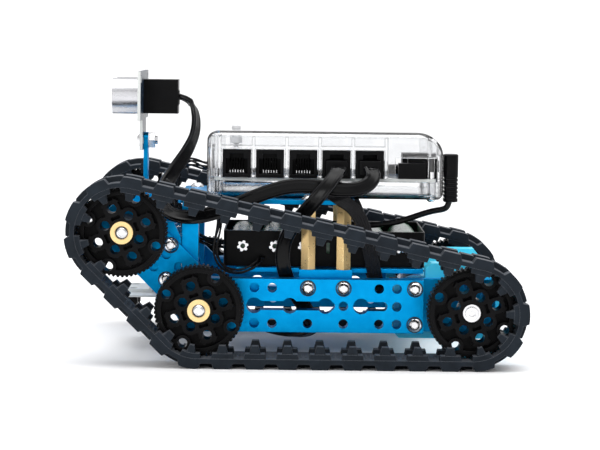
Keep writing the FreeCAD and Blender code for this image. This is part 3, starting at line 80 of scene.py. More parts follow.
# ---------------------------------------------------------------- materials
class Look:
    """A procedural material: plain values go on the Principled shader, patterns on nodes."""

    def __init__(self, name, **values):
        self.material = bpy.data.materials.new(name)
        self.material.use_nodes = True
        self.tree = self.material.node_tree
        self.shader = self.tree.nodes["Principled BSDF"]
        self.output = self.tree.nodes["Material Output"]
        for key, value in values.items():
            self.shader.inputs[key.replace("_", " ")].default_value = value
        self.place = self.add("ShaderNodeTexCoord").outputs["Object"]

    def add(self, kind, settings=None, **links):
        node = self.tree.nodes.new(kind)
        for key, value in (settings or {}).items():
            setattr(node, key, value)
        for key, value in links.items():
            place = int(key[1:]) if key[1:].isdigit() else key.replace("_", " ")
            socket = node.inputs[place]
            if isinstance(value, bpy.types.NodeSocket):
                self.tree.links.new(value, socket)
            else:
                socket.default_value = value
        return node

    def noise(self, scale, detail=3.0, stretch=None, roughness=0.55):
        place = self.place
        if stretch:
            place = self.add("ShaderNodeVectorMath", {"operation": "MULTIPLY"}, _0=place,
                             _1=stretch).outputs[0]
        return self.add("ShaderNodeTexNoise", None, Vector=place, Scale=scale, Detail=detail,
                        Roughness=roughness).outputs["Fac"]

    def ramp(self, source, stops):
        node = self.add("ShaderNodeValToRGB", None, Fac=source)
        elements = node.color_ramp.elements
        while len(elements) < len(stops):
            elements.new(0.5)
        for element, (place, colour) in zip(elements, stops):
            element.position = place
            element.color = (*colour, 1.0)
        return node.outputs["Color"]

    def span(self, source, low, high, start=0.0, end=1.0):
        return self.add("ShaderNodeMapRange", None, Value=source, From_Min=start, From_Max=end,
                        To_Min=low, To_Max=high).outputs["Result"]

    def mix(self, share, first, second, mode="MIX"):
        node = self.add("ShaderNodeMix", {"data_type": "RGBA", "blend_type": mode}, _0=share,
                        _6=first, _7=second)
        return node.outputs[2]

    def math(self, operation, first, second=0.0):
        return self.add("ShaderNodeMath", {"operation": operation}, _0=first, _1=second).outputs[0]

    def rounded(self, radius):
        return self.add("ShaderNodeBevel", {"samples": 4}, Radius=radius).outputs["Normal"]

    def edges(self, radius, gain=3.0):
        """A mask that is 1 along sharp edges."""
        true_normal = self.add("ShaderNodeNewGeometry").outputs["Normal"]
        same = self.add("ShaderNodeVectorMath", {"operation": "DOT_PRODUCT"},
                        _0=self.rounded(radius), _1=true_normal).outputs["Value"]
        return self.span(same, 1.0, 0.0, 1.0 - 1.0 / gain, 1.0)

    def relief(self, height, distance, strength=1.0, radius=0.0):
        normal = {"Normal": self.rounded(radius)} if radius else {}
        bump = self.add("ShaderNodeBump", None, Height=height, Distance=distance,
                        Strength=strength, **normal)
        self.tree.links.new(bump.outputs["Normal"], self.shader.inputs["Normal"])

    def set(self, socket, source):
        self.tree.links.new(source, self.shader.inputs[socket])


def moulded(name, dark, light, rough=(0.4, 0.55), grain=2600.0, edge=0.00035, edge_light=1.8,
            patch=90.0, distance=0.00003, **values):
    """A moulded plastic or rubber surface: patchy tone, fine grain, softened edges painted lighter as a
    painted highlight with some edge wear.
    """
    look = Look(name, **values)
    tone = look.ramp(look.noise(patch), [(0.3, dark), (0.7, light)])
    # painted edge highlight, with some edge wear: sharp edges take a paler colour
    pale = tuple(min(1.0, c * edge_light + 0.004) for c in light)
    look.set("Base Color", look.mix(look.edges(edge * 1.4), tone, (*pale, 1.0)))
    look.set("Roughness", look.span(look.noise(patch * 4.0), rough[0], rough[1], 0.3, 0.7))
    look.relief(look.noise(grain, 2.0), distance, 0.6, edge)
    return look.material


def rubber_painted_top_light(name, side, top, shine):
    """Tread rubber: dark flanks, and paler faces the more the surface looks up, which is painted top
    light.
    """
    look = Look(name, Specular_IOR_Level=shine)
    normal = look.add("ShaderNodeNewGeometry").outputs["Normal"]
    height = look.add("ShaderNodeSeparateXYZ", None, _0=normal).outputs["Z"]
    # painted top light: the more a face looks up, the more it takes the paler top colour
    painted_top_light = look.span(height, 0.0, 1.0, 0.2, 0.9)
    flank = look.ramp(look.noise(130.0), [(0.3, side), (0.7, tuple(c * 1.7 for c in side))])
    tone = look.mix(painted_top_light, flank, (*top, 1.0))
    # painted edge highlight, with some edge wear: sharp edges take a paler colour
    pale = tuple(c * 1.2 for c in top)
    look.set("Base Color", look.mix(look.edges(0.0004), tone, (*pale, 1.0)))
    look.set("Roughness", look.span(look.noise(500.0), 0.48, 0.68, 0.3, 0.7))
    look.relief(look.noise(2600.0, 2.0), 0.00003, 0.6, 0.0003)
    return look.material


def metal(name, dark, light, rough=(0.2, 0.3), grain=3000.0, edge=0.0003, stretch=None,
          distance=0.00001, edge_light=1.25, metallic=1.0, **values):
    """A metal surface with a fine tooth and edges painted brighter as a painted highlight with some edge
    wear.
    """
    look = Look(name, Metallic=metallic, **values)
    tone = look.ramp(look.noise(140.0, stretch=stretch), [(0.3, dark), (0.7, light)])
    # painted edge highlight, with some edge wear: sharp edges take a paler colour
    pale = tuple(min(1.0, c * edge_light + 0.02) for c in light)
    look.set("Base Color", look.mix(look.edges(edge * 1.3), tone, (*pale, 1.0)))
    look.set("Roughness", look.span(look.noise(grain * 0.2, stretch=stretch), rough[0], rough[1],
                                    0.3, 0.7))
    look.relief(look.noise(grain, 2.0, stretch), distance, 0.5, edge)
    return look.material


def clear_plastic(name, tint, rough):
    """Clear moulded plastic that lets lamp light through to what is inside."""
    look = Look(name, Base_Color=(*tint, 1.0), IOR=1.49, Transmission_Weight=1.0)
    look.set("Roughness", look.span(look.noise(160.0), rough, rough * 2.5, 0.35, 0.7))
    look.relief(look.noise(55.0, 1.0), 0.0003, 0.12, 0.0005)
    shadow = look.add("ShaderNodeLightPath").outputs["Is Shadow Ray"]
    passing = look.add("ShaderNodeBsdfTransparent", None, Color=(0.94, 0.95, 0.96, 1.0))
    both = look.add("ShaderNodeMixShader", None, _0=shadow, _1=look.shader.outputs[0],
                    _2=passing.outputs[0])
    look.tree.links.new(both.outputs[0], look.output.inputs["Surface"])
    return look.material


def circuit_board(name, mask, copper, rough=(0.3, 0.4)):
    """Solder mask over faint copper tracks, with small round vias."""
    look = Look(name, Specular_IOR_Level=0.5)
    tracks = look.add("ShaderNodeTexBrick", {"offset": 0.37, "squash": 1.0}, Vector=look.place,
                      Scale=230.0, Mortar_Size=0.035, Color1=(1, 1, 1, 1), Color2=(1, 1, 1, 1),
                      Mortar=(0, 0, 0, 1)).outputs["Color"]
    spots = look.add("ShaderNodeTexVoronoi", None, Vector=look.place, Scale=210.0).outputs["Distance"]
    lines = look.mix(1.0, tracks, (1.0, 1.0, 1.0, 1.0))
    tone = look.mix(lines, (*copper, 1.0), (*mask, 1.0))
    vias = look.span(spots, 1.0, 0.0, 0.10, 0.13)
    tone = look.mix(vias, tone, (0.55, 0.5, 0.42, 1.0))
    normal = look.add("ShaderNodeNewGeometry").outputs["Normal"]
    sideways = look.add("ShaderNodeSeparateXYZ", None, _0=normal).outputs["Y"]
    cut_edge = look.math("GREATER_THAN", look.math("ABSOLUTE", sideways), 0.7)
    look.set("Base Color", look.mix(cut_edge, tone, (0.66, 0.68, 0.66, 1.0)))
    look.set("Roughness", look.span(look.noise(500.0), rough[0], rough[1]))
    look.relief(look.noise(1500.0), 0.00001, 0.5, 0.0002)
    return look.material


MATERIALS = {
    "track_rubber": rubber_painted_top_light("track_rubber", (0.007, 0.010, 0.014), (0.075, 0.082, 0.094), 0.12),
    "wheel_plastic": moulded("wheel_plastic", (0.002, 0.002, 0.0022), (0.006, 0.006, 0.0065),
                             rough=(0.3, 0.45), edge_light=2.0, Specular_IOR_Level=0.06),
    "blue_anodised": metal("blue_anodised", (0.001, 0.26, 0.60), (0.002, 0.32, 0.69),
                           rough=(0.34, 0.44), edge_light=1.25),
    "gearbox_plastic": moulded("gearbox_plastic", (0.05, 0.66, 0.95), (0.07, 0.72, 0.98),
                               rough=(0.28, 0.4), edge_light=1.1, Specular_IOR_Level=0.35),
    "bright_steel": metal("bright_steel", (0.62, 0.62, 0.63), (0.80, 0.80, 0.81),
                          rough=(0.12, 0.24)),
    "black_steel": metal("black_steel", (0.006, 0.006, 0.006), (0.012, 0.012, 0.012),
                         rough=(0.28, 0.4), edge_light=3.0, metallic=0.3),
    "brass": metal("brass", (0.80, 0.56, 0.25), (0.87, 0.63, 0.30), rough=(0.26, 0.34),
                   metallic=0.75, distance=0.000003),
    "rotor": metal("rotor", (0.45, 0.30, 0.18), (0.6, 0.4, 0.25), rough=(0.3, 0.45)),
    "black_plastic": moulded("black_plastic", (0.0015, 0.0015, 0.0018), (0.0035, 0.0035, 0.004),
                             rough=(0.3, 0.42), edge_light=4.0, Specular_IOR_Level=0.08),
    "clear_plastic": clear_plastic("clear_plastic", (0.90, 0.905, 0.91), 0.03),
    "board_dark": circuit_board("board_dark", (0.006, 0.020, 0.042), (0.018, 0.045, 0.08)),
    "board_white": circuit_board("board_white", (0.78, 0.79, 0.78), (0.68, 0.70, 0.68)),
    "cell_wrap": moulded("cell_wrap", (0.03, 0.16, 0.07), (0.05, 0.22, 0.1), rough=(0.2, 0.3)),
    # edge_light 30: bright painted highlights along the cable's edges and grooves
    "cable_black": moulded("cable_black", (0.0015, 0.0015, 0.0018), (0.003, 0.003, 0.0033),
                           rough=(0.16, 0.26), grain=1500.0, edge_light=30.0,
                           Specular_IOR_Level=0.16),
    "switch_plastic": moulded("switch_plastic", (0.02, 0.02, 0.021), (0.03, 0.03, 0.031)),
    "button_plastic": moulded("button_plastic", (0.70, 0.70, 0.71), (0.80, 0.80, 0.81)),
    "gauze": metal("gauze", (0.03, 0.03, 0.032), (0.30, 0.30, 0.31), rough=(0.3, 0.4),
                   grain=900.0, distance=0.0003),
    "can_silver": metal("can_silver", (0.56, 0.56, 0.58), (0.72, 0.72, 0.74), rough=(0.22, 0.32),
                        stretch=(0.2, 1.0, 1.0)),
}

SLOT_NODES = {
    "track_rubber": ("track_left", "track_right"),
    "wheel_plastic": tuple("wheel_%s_%s" % (place, side)
                           for place in ("front_upper", "front_lower", "rear")
                           for side in ("left", "right")),
    "blue_anodised": ("side_beam_left", "side_beam_right", "front_arm_left", "front_arm_right",
                      "motor_plates", "front_cross_bracket", "front_columns", "deck_brackets",
                      "deck", "controller_plate", "sensor_mast"),
    "gearbox_plastic": ("gearbox_left", "gearbox_right"),
    "bright_steel": ("drive_shaft_left", "drive_shaft_right", "motor_cans", "axle_screws",
                     "button_screws", "nuts", "battery_eyelets"),
    "black_steel": ("washers",),
    "brass": ("gear_cluster_left", "gear_cluster_right", "axle_sleeves", "hex_standoffs"),
    "rotor": ("motor_rotor_left", "motor_rotor_right"),
    "black_plastic": ("encoder_covers", "axle_spacers", "battery_holder", "modular_jacks",
                      "board_chips", "dc_plug", "cable_plugs"),
    "clear_plastic": ("case_lower", "case_upper"),
    "board_dark": ("main_board", "distance_board"),
    "board_white": ("line_board", "line_sensor_foot"),
    "cell_wrap": ("battery_cells",),
    "cable_black": ("distance_cable", "line_cable", "power_lead", "battery_leads", "front_bundle",
                    "motor_ribbon_left", "motor_ribbon_right"),
    "switch_plastic": ("power_switch",),
    "button_plastic": ("reset_button",),
    "can_silver": ("transducers",),
}

for slot_name, node_names in SLOT_NODES.items():
    for node_name in node_names:
        node = NODES[node_name]
        node.data.materials.clear()
        node.data.materials.append(MATERIALS[slot_name])


# ---------------------------------------------------------------- mesh helpers
def new_piece(name, verts, faces, slot, body, smooth_angle=35.0, look=None):
    mesh = bpy.data.meshes.new(name)
    mesh.from_pydata(verts, [], faces)
    mesh.update()
    work = bmesh.new()
    work.from_mesh(mesh)
    bmesh.ops.recalc_face_normals(work, faces=work.faces)
    limit = math.radians(smooth_angle)
    for face in work.faces:
        face.smooth = True
    for edge in work.edges:
        edge.smooth = len(edge.link_faces) == 2 and edge.calc_face_angle() < limit
    work.to_mesh(mesh)
    work.free()
    piece = bpy.data.objects.new(name, mesh)
    bpy.context.scene.collection.objects.link(piece)
    mesh.materials.append(MATERIALS[look or slot])
    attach(piece, body)
    return piece


# ---------------------------------------------------------------- cords
def spline_points(name, points):
    """The points along the NURBS spline with the route's points as its control points."""
    curve = bpy.data.curves.new(name, "CURVE")
    curve.dimensions = "3D"
    curve.resolution_u = 8
    spline = curve.splines.new("NURBS")
    spline.points.add(len(points) - 1)
    for point, place in zip(spline.points, points):
        point.co = (*(c * MM for c in place), 1.0)
    spline.order_u = 3
    spline.use_endpoint_u = True
    holder = bpy.data.objects.new(name, curve)
    mesh = bpy.data.meshes.new_from_object(holder)
    line = [vertex.co.copy() for vertex in mesh.vertices]
    bpy.data.objects.remove(holder)
    bpy.data.meshes.remove(mesh)
    bpy.data.curves.remove(curve)
    return line


def direction_at(line, index):
    before, after = line[max(0, index - 1)], line[min(len(line) - 1, index + 1)]
    return (after - before).normalized()


def sweep(line, section, facings):
    """A closed tube: the section's first number runs across the cord and its second along the facing."""
    verts, faces = [], []
    count = len(section)
    for index, place in enumerate(line):
        along = direction_at(line, index)
        share = index / (len(line) - 1) * (len(facings) - 1)
        step = min(int(share), len(facings) - 2)
        facing = facings[step].lerp(facings[step + 1], share - step)
        facing = (facing - along * facing.dot(along)).normalized()
        across = along.cross(facing)
        verts += [place + across * a + facing * b for a, b in section]
    for ring in range(len(line) - 1):
        for step in range(count):
            after = (step + 1) % count
            faces.append((ring * count + step, ring * count + after,
                          (ring + 1) * count + after, (ring + 1) * count + step))
    faces.append(tuple(range(count)))
    faces.append(tuple(range((len(line) - 1) * count, len(line) * count)))
    return verts, faces


def flat_section(width, thick, wires, groove, steps=48):
    """A flat cable's outline: rounded ends and a shallow groove between wires."""
    outline = []
    half_w, half_t = width / 2, thick / 2
    for index in range(steps):
        angle = 2 * math.pi * index / steps
        x, y = math.cos(angle), math.sin(angle)
        across = half_w * math.copysign(abs(x) ** 0.55, x)
        tall = half_t * math.copysign(abs(y) ** 0.3, y)
        dip = groove * (0.5 - 0.5 * math.cos(2 * math.pi * wires * (across / width + 0.5)))
        outline.append((across, tall - math.copysign(groove - dip, y) if abs(y) > 0.3 else tall))
    return outline


def round_section(radius, steps=14):
    return [(radius * math.cos(2 * math.pi * i / steps), radius * math.sin(2 * math.pi * i / steps))
            for i in range(steps)]


def as_vectors(facings):
    return [Vector(f).normalized() for f in facings]


def declare(piece, line, width, nodes, **facts):
    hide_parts(*nodes)


FLAT_WIDTH, FLAT_THICK = 6.6 * MM, 2.3 * MM
FLAT_WIRES = 3
FLAT_GROOVE = 0.00024
RIBBON_WIDTH, RIBBON_THICK = 6.6 * MM, 1.1 * MM
RIBBON_WIRES = 6
RIBBON_ARC = (150, 110, 70, 30)

DISTANCE_ROUTE = [(-55.6, 0.0, 116.4), (-51.8, -0.6, 115.4), (-48.8, -1.6, 111.8),
                  (-47.4, -3.0, 105.8), (-48.0, -6.0, 98.8), (-51.2, -10.4, 91.6),
                  (-55.8, -15.6, 84.6), (-60.0, -22.0, 78.2), (-62.4, -29.6, 72.0),
                  (-61.2, -37.6, 67.0), (-55.6, -44.2, 64.2), (-46.4, -48.2, 63.8),
                  (-36.0, -49.4, 66.4), (-25.6, -49.4, 70.8), (-14.8, -48.4, 75.4),
                  (-3.6, -46.8, 78.6), (8.4, -46.0, 78.4), (19.6, -45.8, 76.6),
                  (28.6, -45.6, 77.4), (33.4, -44.4, 80.8), (34.0, -41.6, 84.4),
                  (32.55, -38.0, 86.2)]
LINE_ROUTE = [(17.45, -38.0, 86.2), (18.4, -42.4, 86.4), (17.6, -47.4, 84.6),
              (14.4, -51.2, 80.4), (9.4, -52.2, 74.4), (3.8, -50.8, 67.8), (-1.8, -47.4, 61.0),
              (-5.6, -43.0, 54.0), (-6.8, -40.4, 46.6), (-5.8, -39.4, 39.2), (-2.8, -37.6, 32.0),
              (1.6, -34.2, 25.2), (6.2, -30.0, 18.4), (8.6, -25.0, 12.2), (6.2, -19.6, 8.0),
              (-0.8, -14.8, 6.6), (-9.6, -10.8, 7.6), (-19.4, -7.2, 10.0), (-28.6, -3.8, 13.6),
              (-36.6, -1.4, 17.4), (-44.0, -0.3, 20.6), (-50.4, 0.0, 21.4)]
RIBBON_ROUTE = [(12.0, 35.0, 76.0), (12.3, 38.2, 75.8), (14.4, 41.6, 74.4),
                (19.0, 44.6, 72.4), (24.4, 46.2, 69.4), (28.4, 46.4, 63.8), (30.8, 45.2, 56.8),
                (32.6, 42.8, 50.2), (34.0, 40.2, 43.6), (35.6, 38.6, 36.8), (37.2, 35.4, 30.8),
                (38.2, 30.0, 27.0), (38.0, 23.4, 25.4), (37.2, 16.6, 25.2), (37.6, 10.2, 26.2),
                (40.2, 5.6, 26.9), (44.07, 3.9, 27.0)]
LEAD_ROUTE = [(69.6, -22.4, 70.3), (69.0, -22.4, 67.9), (66.9, -22.4, 66.7),
              (62.4, -22.4, 66.0), (57.6, -22.4, 64.6), (52.6, -22.3, 62.8), (47.2, -22.2, 61.0),
              (41.8, -22.2, 59.9), (37.0, -22.2, 59.3), (33.0, -22.2, 59.0)]
THIN_ROUTE = [(-15.9, -29.0, 44.4), (-16.2, -32.4, 44.3), (-17.6, -36.2, 42.6),
              (-20.8, -38.4, 40.2), (-25.8, -39.4, 38.4), (-31.0, -39.6, 39.2),
              (-34.8, -39.0, 41.8), (-37.0, -38.6, 46.6), (-37.2, -38.2, 51.8),
              (-35.8, -37.8, 57.0), (-35.0, -37.0, 62.4), (-35.6, -36.0, 69.8)]
BUNDLE_ROUTE = [(-41.5, 8.0, 83.4), (-44.4, 8.0, 83.8), (-47.6, 8.0, 85.0),
                (-51.4, 8.0, 85.6), (-55.0, 8.0, 83.8), (-57.4, 8.0, 79.8), (-58.0, 8.2, 74.4),
                (-57.6, 8.6, 68.0), (-55.8, 9.0, 61.4), (-52.6, 9.4, 55.4), (-48.4, 9.6, 50.6),
                (-43.4, 9.6, 47.8), (-38.4, 9.6, 46.6), (-33.6, 9.6, 46.4)]


def flat_cable(name, route, facings, node):
    line = spline_points(name, route)
    section = flat_section(FLAT_WIDTH, FLAT_THICK, FLAT_WIRES, FLAT_GROOVE)
    verts, faces = sweep(line, section, as_vectors(facings))
    piece = new_piece(name, verts, faces, "cable_black", "root", 40.0)
    declare(piece, line, FLAT_WIDTH, [node], stiffness="medium", lay="loose")


STRAND_REFERENCE = (0.3, 0.9, 0.2)


def strands(name, route, node, count, strand_r, ring_r, turns):
    """Thin wires lying side by side along one line, lightly twisted."""
    line = spline_points(name, route)
    verts, faces = [], []
    for strand in range(count):
        points = []
        for index, place in enumerate(line):
            along = direction_at(line, index)
            side = along.cross(Vector(STRAND_REFERENCE)).normalized()
            other = along.cross(side)
            angle = 2 * math.pi * (strand / count + turns * index / (len(line) - 1))
            points.append(place + (side * math.cos(angle) + other * math.sin(angle)) * ring_r)
        more_verts, more_faces = sweep(points, round_section(strand_r, 10),
                                       as_vectors([STRAND_REFERENCE] * 2))
        base = len(verts)
        verts += more_verts
        faces += [tuple(base + i for i in face) for face in more_faces]
    piece = new_piece(name, verts, faces, "cable_black", "root", 50.0)
    declare(piece, line, 2 * (ring_r + strand_r), [node], stiffness="limp", lay="loose")


flat_cable("flat_cable_distance", DISTANCE_ROUTE,
           [(0, 0.2, 1), (0, 0.4, 1), (1, -0.3, 0.3), (1, -0.5, 0), (0.9, -0.6, -0.2),
            (0.7, -0.8, -0.2), (0.5, -0.8, 0), (0.4, -0.7, 0.5), (0.1, -0.6, 0.8),
            (-0.1, -0.5, 0.9), (-0.1, -0.7, 0.7), (0, -0.9, 0.4), (0, -1, 0.2), (0, -1, 0.1),
            (0, -1, 0.1), (0, -1, 0.1), (0, -1, 0.1), (0, -1, 0.1), (0, -1, 0.2), (0.2, -0.8, 0.4),
            (0.2, -0.3, 0.9), (0, 0, 1)], "distance_cable")
flat_cable("flat_cable_line", LINE_ROUTE,
           [(0, 0, 1), (0, -0.2, 1), (-0.3, -0.8, 0.6), (-0.3, -0.9, 0.3), (-0.1, -1, 0.1),
            (0, -1, 0), (0, -1, -0.2), (0, -1, -0.3), (0, -1, -0.1), (0, -1, 0), (0, -1, 0),
            (0, -1, 0.2), (0.2, -1, 0.1), (0.6, -0.6, 0), (0.3, -0.4, -0.8), (0, -0.2, -1),
            (0, 0, -1), (0, 0, -1), (0, 0, -1), (0, 0, -1), (0, 0, -1), (0, 0, -1)],
           "line_cable")


def ribbon(side_name, side):
    name = "ribbon_" + side_name
    route = [(x, side * y, z) for x, y, z in RIBBON_ROUTE]
    line = spline_points(name, route)
    pitch = RIBBON_WIDTH / RIBBON_WIRES
    radius = RIBBON_THICK / 2
    section = []
    for direction in (1, -1):
        for wire in range(RIBBON_WIRES):
            centre = direction * ((wire + 0.5) * pitch - RIBBON_WIDTH / 2)
            for angle in RIBBON_ARC:
                section.append((centre + direction * radius * math.cos(math.radians(angle)),
                                direction * radius * math.sin(math.radians(angle))))
    facings = [(0, 0, 1), (0, side * 0.3, 1), (0.3, side * 0.7, 0.7), (0.3, side, 0.4),
               (0.3, side, 0.2), (0.3, side, 0.1), (0.1, side, 0), (0, side, 0), (0, side, 0),
               (0, side, -0.1), (0, side, -0.4), (0, side * 0.5, -0.9), (0, 0, -1), (0, 0, -1),
               (0, -side * 0.2, -1), (-0.2, -side * 0.4, -0.9), (0, 0, -1)]
    verts, faces = sweep(line, section, as_vectors(facings))
    piece = new_piece(name, verts, faces, "cable_black", "root", 25.0)
    declare(piece, line, RIBBON_WIDTH, ["motor_ribbon_" + side_name], stiffness="limp",
            lay="loose")


for side_name, side in (("left", -1), ("right", 1)):
    ribbon(side_name, side)


def round_cord(name, route, node, diameter, stiffness):
    line = spline_points(name, route)
    verts, faces = sweep(line, round_section(diameter / 2, 20), as_vectors([(0, 1, 0.1)] * 2))
    piece = new_piece(name, verts, faces, "cable_black", "root", 60.0)
    declare(piece, line, diameter, [node], stiffness=stiffness, lay="loose")


round_cord("power_cord", LEAD_ROUTE, "power_lead", 2.8 * MM, "medium")
strands("battery_wires", THIN_ROUTE, "battery_leads", count=3, strand_r=0.5 * MM,
        ring_r=0.95 * MM, turns=0.7)
strands("front_wires", BUNDLE_ROUTE, "front_bundle", count=5, strand_r=0.5 * MM,
        ring_r=1.7 * MM, turns=0.8)


# ---------------------------------------------------------------- small fittings
JACK_X0 = -34.2
JACK_PITCH = 15.1
JACK_MIDDLE = 6.35
OPEN_JACKS = 3
CONTACTS = 6
CONTACT_PITCH = 1.2
CONTACT_HALF = 0.2
CONTACT_LINE = ((-24.0, 89.2), (-28.5, 86.6), (-31.6, 84.2), (-31.9, 83.2))


def jack_contacts():
    """Six bent spring wires in the mouth of each open jack."""
    verts, faces = [], []
    for jack in range(OPEN_JACKS):
        middle = JACK_X0 + JACK_PITCH * jack + JACK_MIDDLE
        for wire in range(CONTACTS):
            x = middle + (wire - (CONTACTS - 1) / 2) * CONTACT_PITCH
            base = len(verts)
            for y, z in CONTACT_LINE:
                for dx, dz in ((-1, -1), (1, -1), (1, 1), (-1, 1)):
                    verts.append(((x + dx * CONTACT_HALF) * MM, y * MM,
                                  (z + dz * CONTACT_HALF) * MM))
            for ring in range(len(CONTACT_LINE) - 1):
                for side in range(4):
                    a, b = base + ring * 4 + side, base + ring * 4 + (side + 1) % 4
                    faces.append((a, b, b + 4, a + 4))
            last = base + (len(CONTACT_LINE) - 1) * 4
            faces.append((base, base + 1, base + 2, base + 3))
            faces.append((last, last + 1, last + 2, last + 3))
    new_piece("jack_contacts", verts, faces, "bright_steel", "root")


GAUZE_R = 7.28
GAUZE_SET_BACK = 1.3
GAUZE_YS = (-13.0, 13.0)
GAUZE_STEPS = 48
GAUZE_TOP = 0.6
GAUZE_RINGS = ((0.5, 0.45), (1.0, 0.0))


def sensor_gauzes():
    """The domed wire gauze set back in each can of the distance sensor."""
    low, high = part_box("transducers")
    front = low.x / MM + GAUZE_SET_BACK
    middle_z = (low.z + high.z) / 2 / MM
    steps = GAUZE_STEPS
    verts, faces = [], []
    for y in GAUZE_YS:
        base = len(verts)
        verts.append(((front - GAUZE_TOP) * MM, y * MM, middle_z * MM))
        for share, dome in GAUZE_RINGS:
            for step in range(steps):
                turn = 2 * math.pi * step / steps
                verts.append(((front - dome) * MM, (y + GAUZE_R * share * math.cos(turn)) * MM,
                              (middle_z + GAUZE_R * share * math.sin(turn)) * MM))
        for step in range(steps):
            after = (step + 1) % steps
            faces.append((base, base + 1 + step, base + 1 + after))
            faces.append((base + 1 + step, base + 1 + steps + step, base + 1 + steps + after,
                          base + 1 + after))
    new_piece("sensor_gauzes", verts, faces, "can_silver", "root", look="gauze")


jack_contacts()
sensor_gauzes()


# ---------------------------------------------------------------- tracks
def centre_of(node):
    low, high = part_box(node)
    return ((low.x + high.x) / 2, (low.z + high.z) / 2)


LOWER = centre_of("wheel_front_lower_left")
UPPER = centre_of("wheel_front_upper_left")
REAR = centre_of("wheel_rear_left")
TREAD_R = LOWER[1]
TREAD_H = 2.4 * MM
BELT_R = TREAD_R - TREAD_H
INNER_R = 20.25 * MM
PITCH_R = 20.8 * MM
LUG_BASE_H = 2.25 * MM
LUG_TIP_H = 3.4 * MM
TOOTH_H = 0.25 * MM
TEETH_PER_LINK = 7
LINKS = 32
TRACK_PHASE = 0.39
HALF_ACROSS = 12.0
EDGE_BLOCK = (0.33, 0.25)
MIDDLE_BLOCK = (0.27, 0.2)
LUG_BASE = (0.34, 0.31)
LUG_TIP = (0.17, 0.105)
TOOTH = (0.3, 0.16)


def track_path():
    centres = [LOWER, REAR, UPPER]
    pieces = []
    for index, here in enumerate(centres):
        after = centres[(index + 1) % 3]
        before = centres[index - 1]
        heading_in = math.atan2(here[1] - before[1], here[0] - before[0])
        heading_out = math.atan2(after[1] - here[1], after[0] - here[0])
        turn = (heading_out - heading_in) % (2 * math.pi)
        pieces.append((here, heading_in, turn, turn * PITCH_R))
        run = math.hypot(after[0] - here[0], after[1] - here[1])
        pieces.append((here, heading_out, 0.0, run))
    return pieces


TRACK_PATH = track_path()
TRACK_LENGTH = sum(piece[3] for piece in TRACK_PATH)
LINK = TRACK_LENGTH / LINKS


def path_point(distance, radius):
    left = distance % TRACK_LENGTH
    for centre, heading, turn, length in TRACK_PATH:
        if left <= length + 1e-12:
            angle = heading + turn * left / length
            along = 0.0 if turn else left
            return (centre[0] + math.sin(angle) * radius + math.cos(angle) * along,
                    centre[1] - math.cos(angle) * radius + math.sin(angle) * along)
        left -= length
    return path_point(0.0, radius)


def hat(value, base, top):
    """1 inside the half width top, falling to 0 at the half width base."""
    return min(1.0, max(0.0, (base - abs(value)) / (base - top)))


def outer_radius(link_share, across):
    """How far the tread stands at a share of the link, and a place across it from its middle."""
    edge_block = min(hat(link_share - 0.5, *EDGE_BLOCK),
                     hat(abs(across) - 8.4, 3.9, 3.35))
    wrapped = (link_share + 0.5) % 1.0 - 0.5
    middle_block = min(hat(wrapped, *MIDDLE_BLOCK), hat(across, 4.2, 3.7))
    return BELT_R + TREAD_H * max(edge_block, middle_block)


def inner_radius(link_share, across):
    beside = abs(across) - 8.85
    base = min(hat(link_share - 0.5, *LUG_BASE), hat(beside, 2.95, 2.7))
    tip = min(hat(link_share - 0.5, *LUG_TIP), hat(beside, 2.5, 2.0))
    radius = INNER_R - LUG_BASE_H * base - LUG_TIP_H * tip
    if abs(across) < 5.6:
        wave = (link_share * TEETH_PER_LINK) % 1.0 - 0.5
        radius -= TOOTH_H * hat(wave, *TOOTH)
    return radius


def link_shares():
    shares = [0.0, 0.5]
    for half in EDGE_BLOCK + LUG_BASE + LUG_TIP:
        shares += [0.5 - half, 0.5 + half]
    for half in MIDDLE_BLOCK:
        shares += [half, 1.0 - half]
    for tooth in range(TEETH_PER_LINK):
        shares += [(tooth + 0.5 + half) / TEETH_PER_LINK
                   for half in (-TOOTH[0], -TOOTH[1], TOOTH[1], TOOTH[0])]
    unique = []
    for share in sorted(shares):
        if not unique or share - unique[-1] > 0.002:
            unique.append(share)
    return unique


ACROSS = [0.0, 3.7, 4.2, 4.5, 5.05, 5.6, 5.9, 6.15, 6.35, 6.85, 8.85, 10.85, 11.35, 11.55, 11.75,
          11.8, HALF_ACROSS]
ACROSS = [-a for a in ACROSS[:0:-1]] + ACROSS
EDGE_SOFTENING = 0.25 * MM


def make_track(side_name):
    low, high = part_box("track_" + side_name)
    middle = (low.y + high.y) / 2
    shares = link_shares()
    rows = [(link, share) for link in range(LINKS) for share in shares]
    count = len(ACROSS)
    verts, faces = [], []
    for surface in (outer_radius, inner_radius):
        for link, share in rows:
            for across in ACROSS:
                radius = surface(share, across)
                if abs(across) == HALF_ACROSS and surface is outer_radius:
                    radius -= EDGE_SOFTENING
                x, z = path_point((link + share + TRACK_PHASE) * LINK, radius)
                verts.append((x, middle + across * MM, z))
    total = len(rows)
    shift = total * count
    for row in range(total):
        after = (row + 1) % total
        for step in range(count - 1):
            a, b = row * count + step, row * count + step + 1
            c, d = after * count + step + 1, after * count + step
            faces.append((a, b, c, d))
            faces.append((shift + d, shift + c, shift + b, shift + a))
        for step in (0, count - 1):
            faces.append((row * count + step, after * count + step,
                          shift + after * count + step, shift + row * count + step))
    piece = new_piece("rubber_track_" + side_name, verts, faces, "track_rubber", "root", 24.0)
    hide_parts("track_" + side_name)


for side_name in ("left", "right"):
    make_track(side_name)


# ---------------------------------------------------------------- room
FLOOR_REACH = 60.0


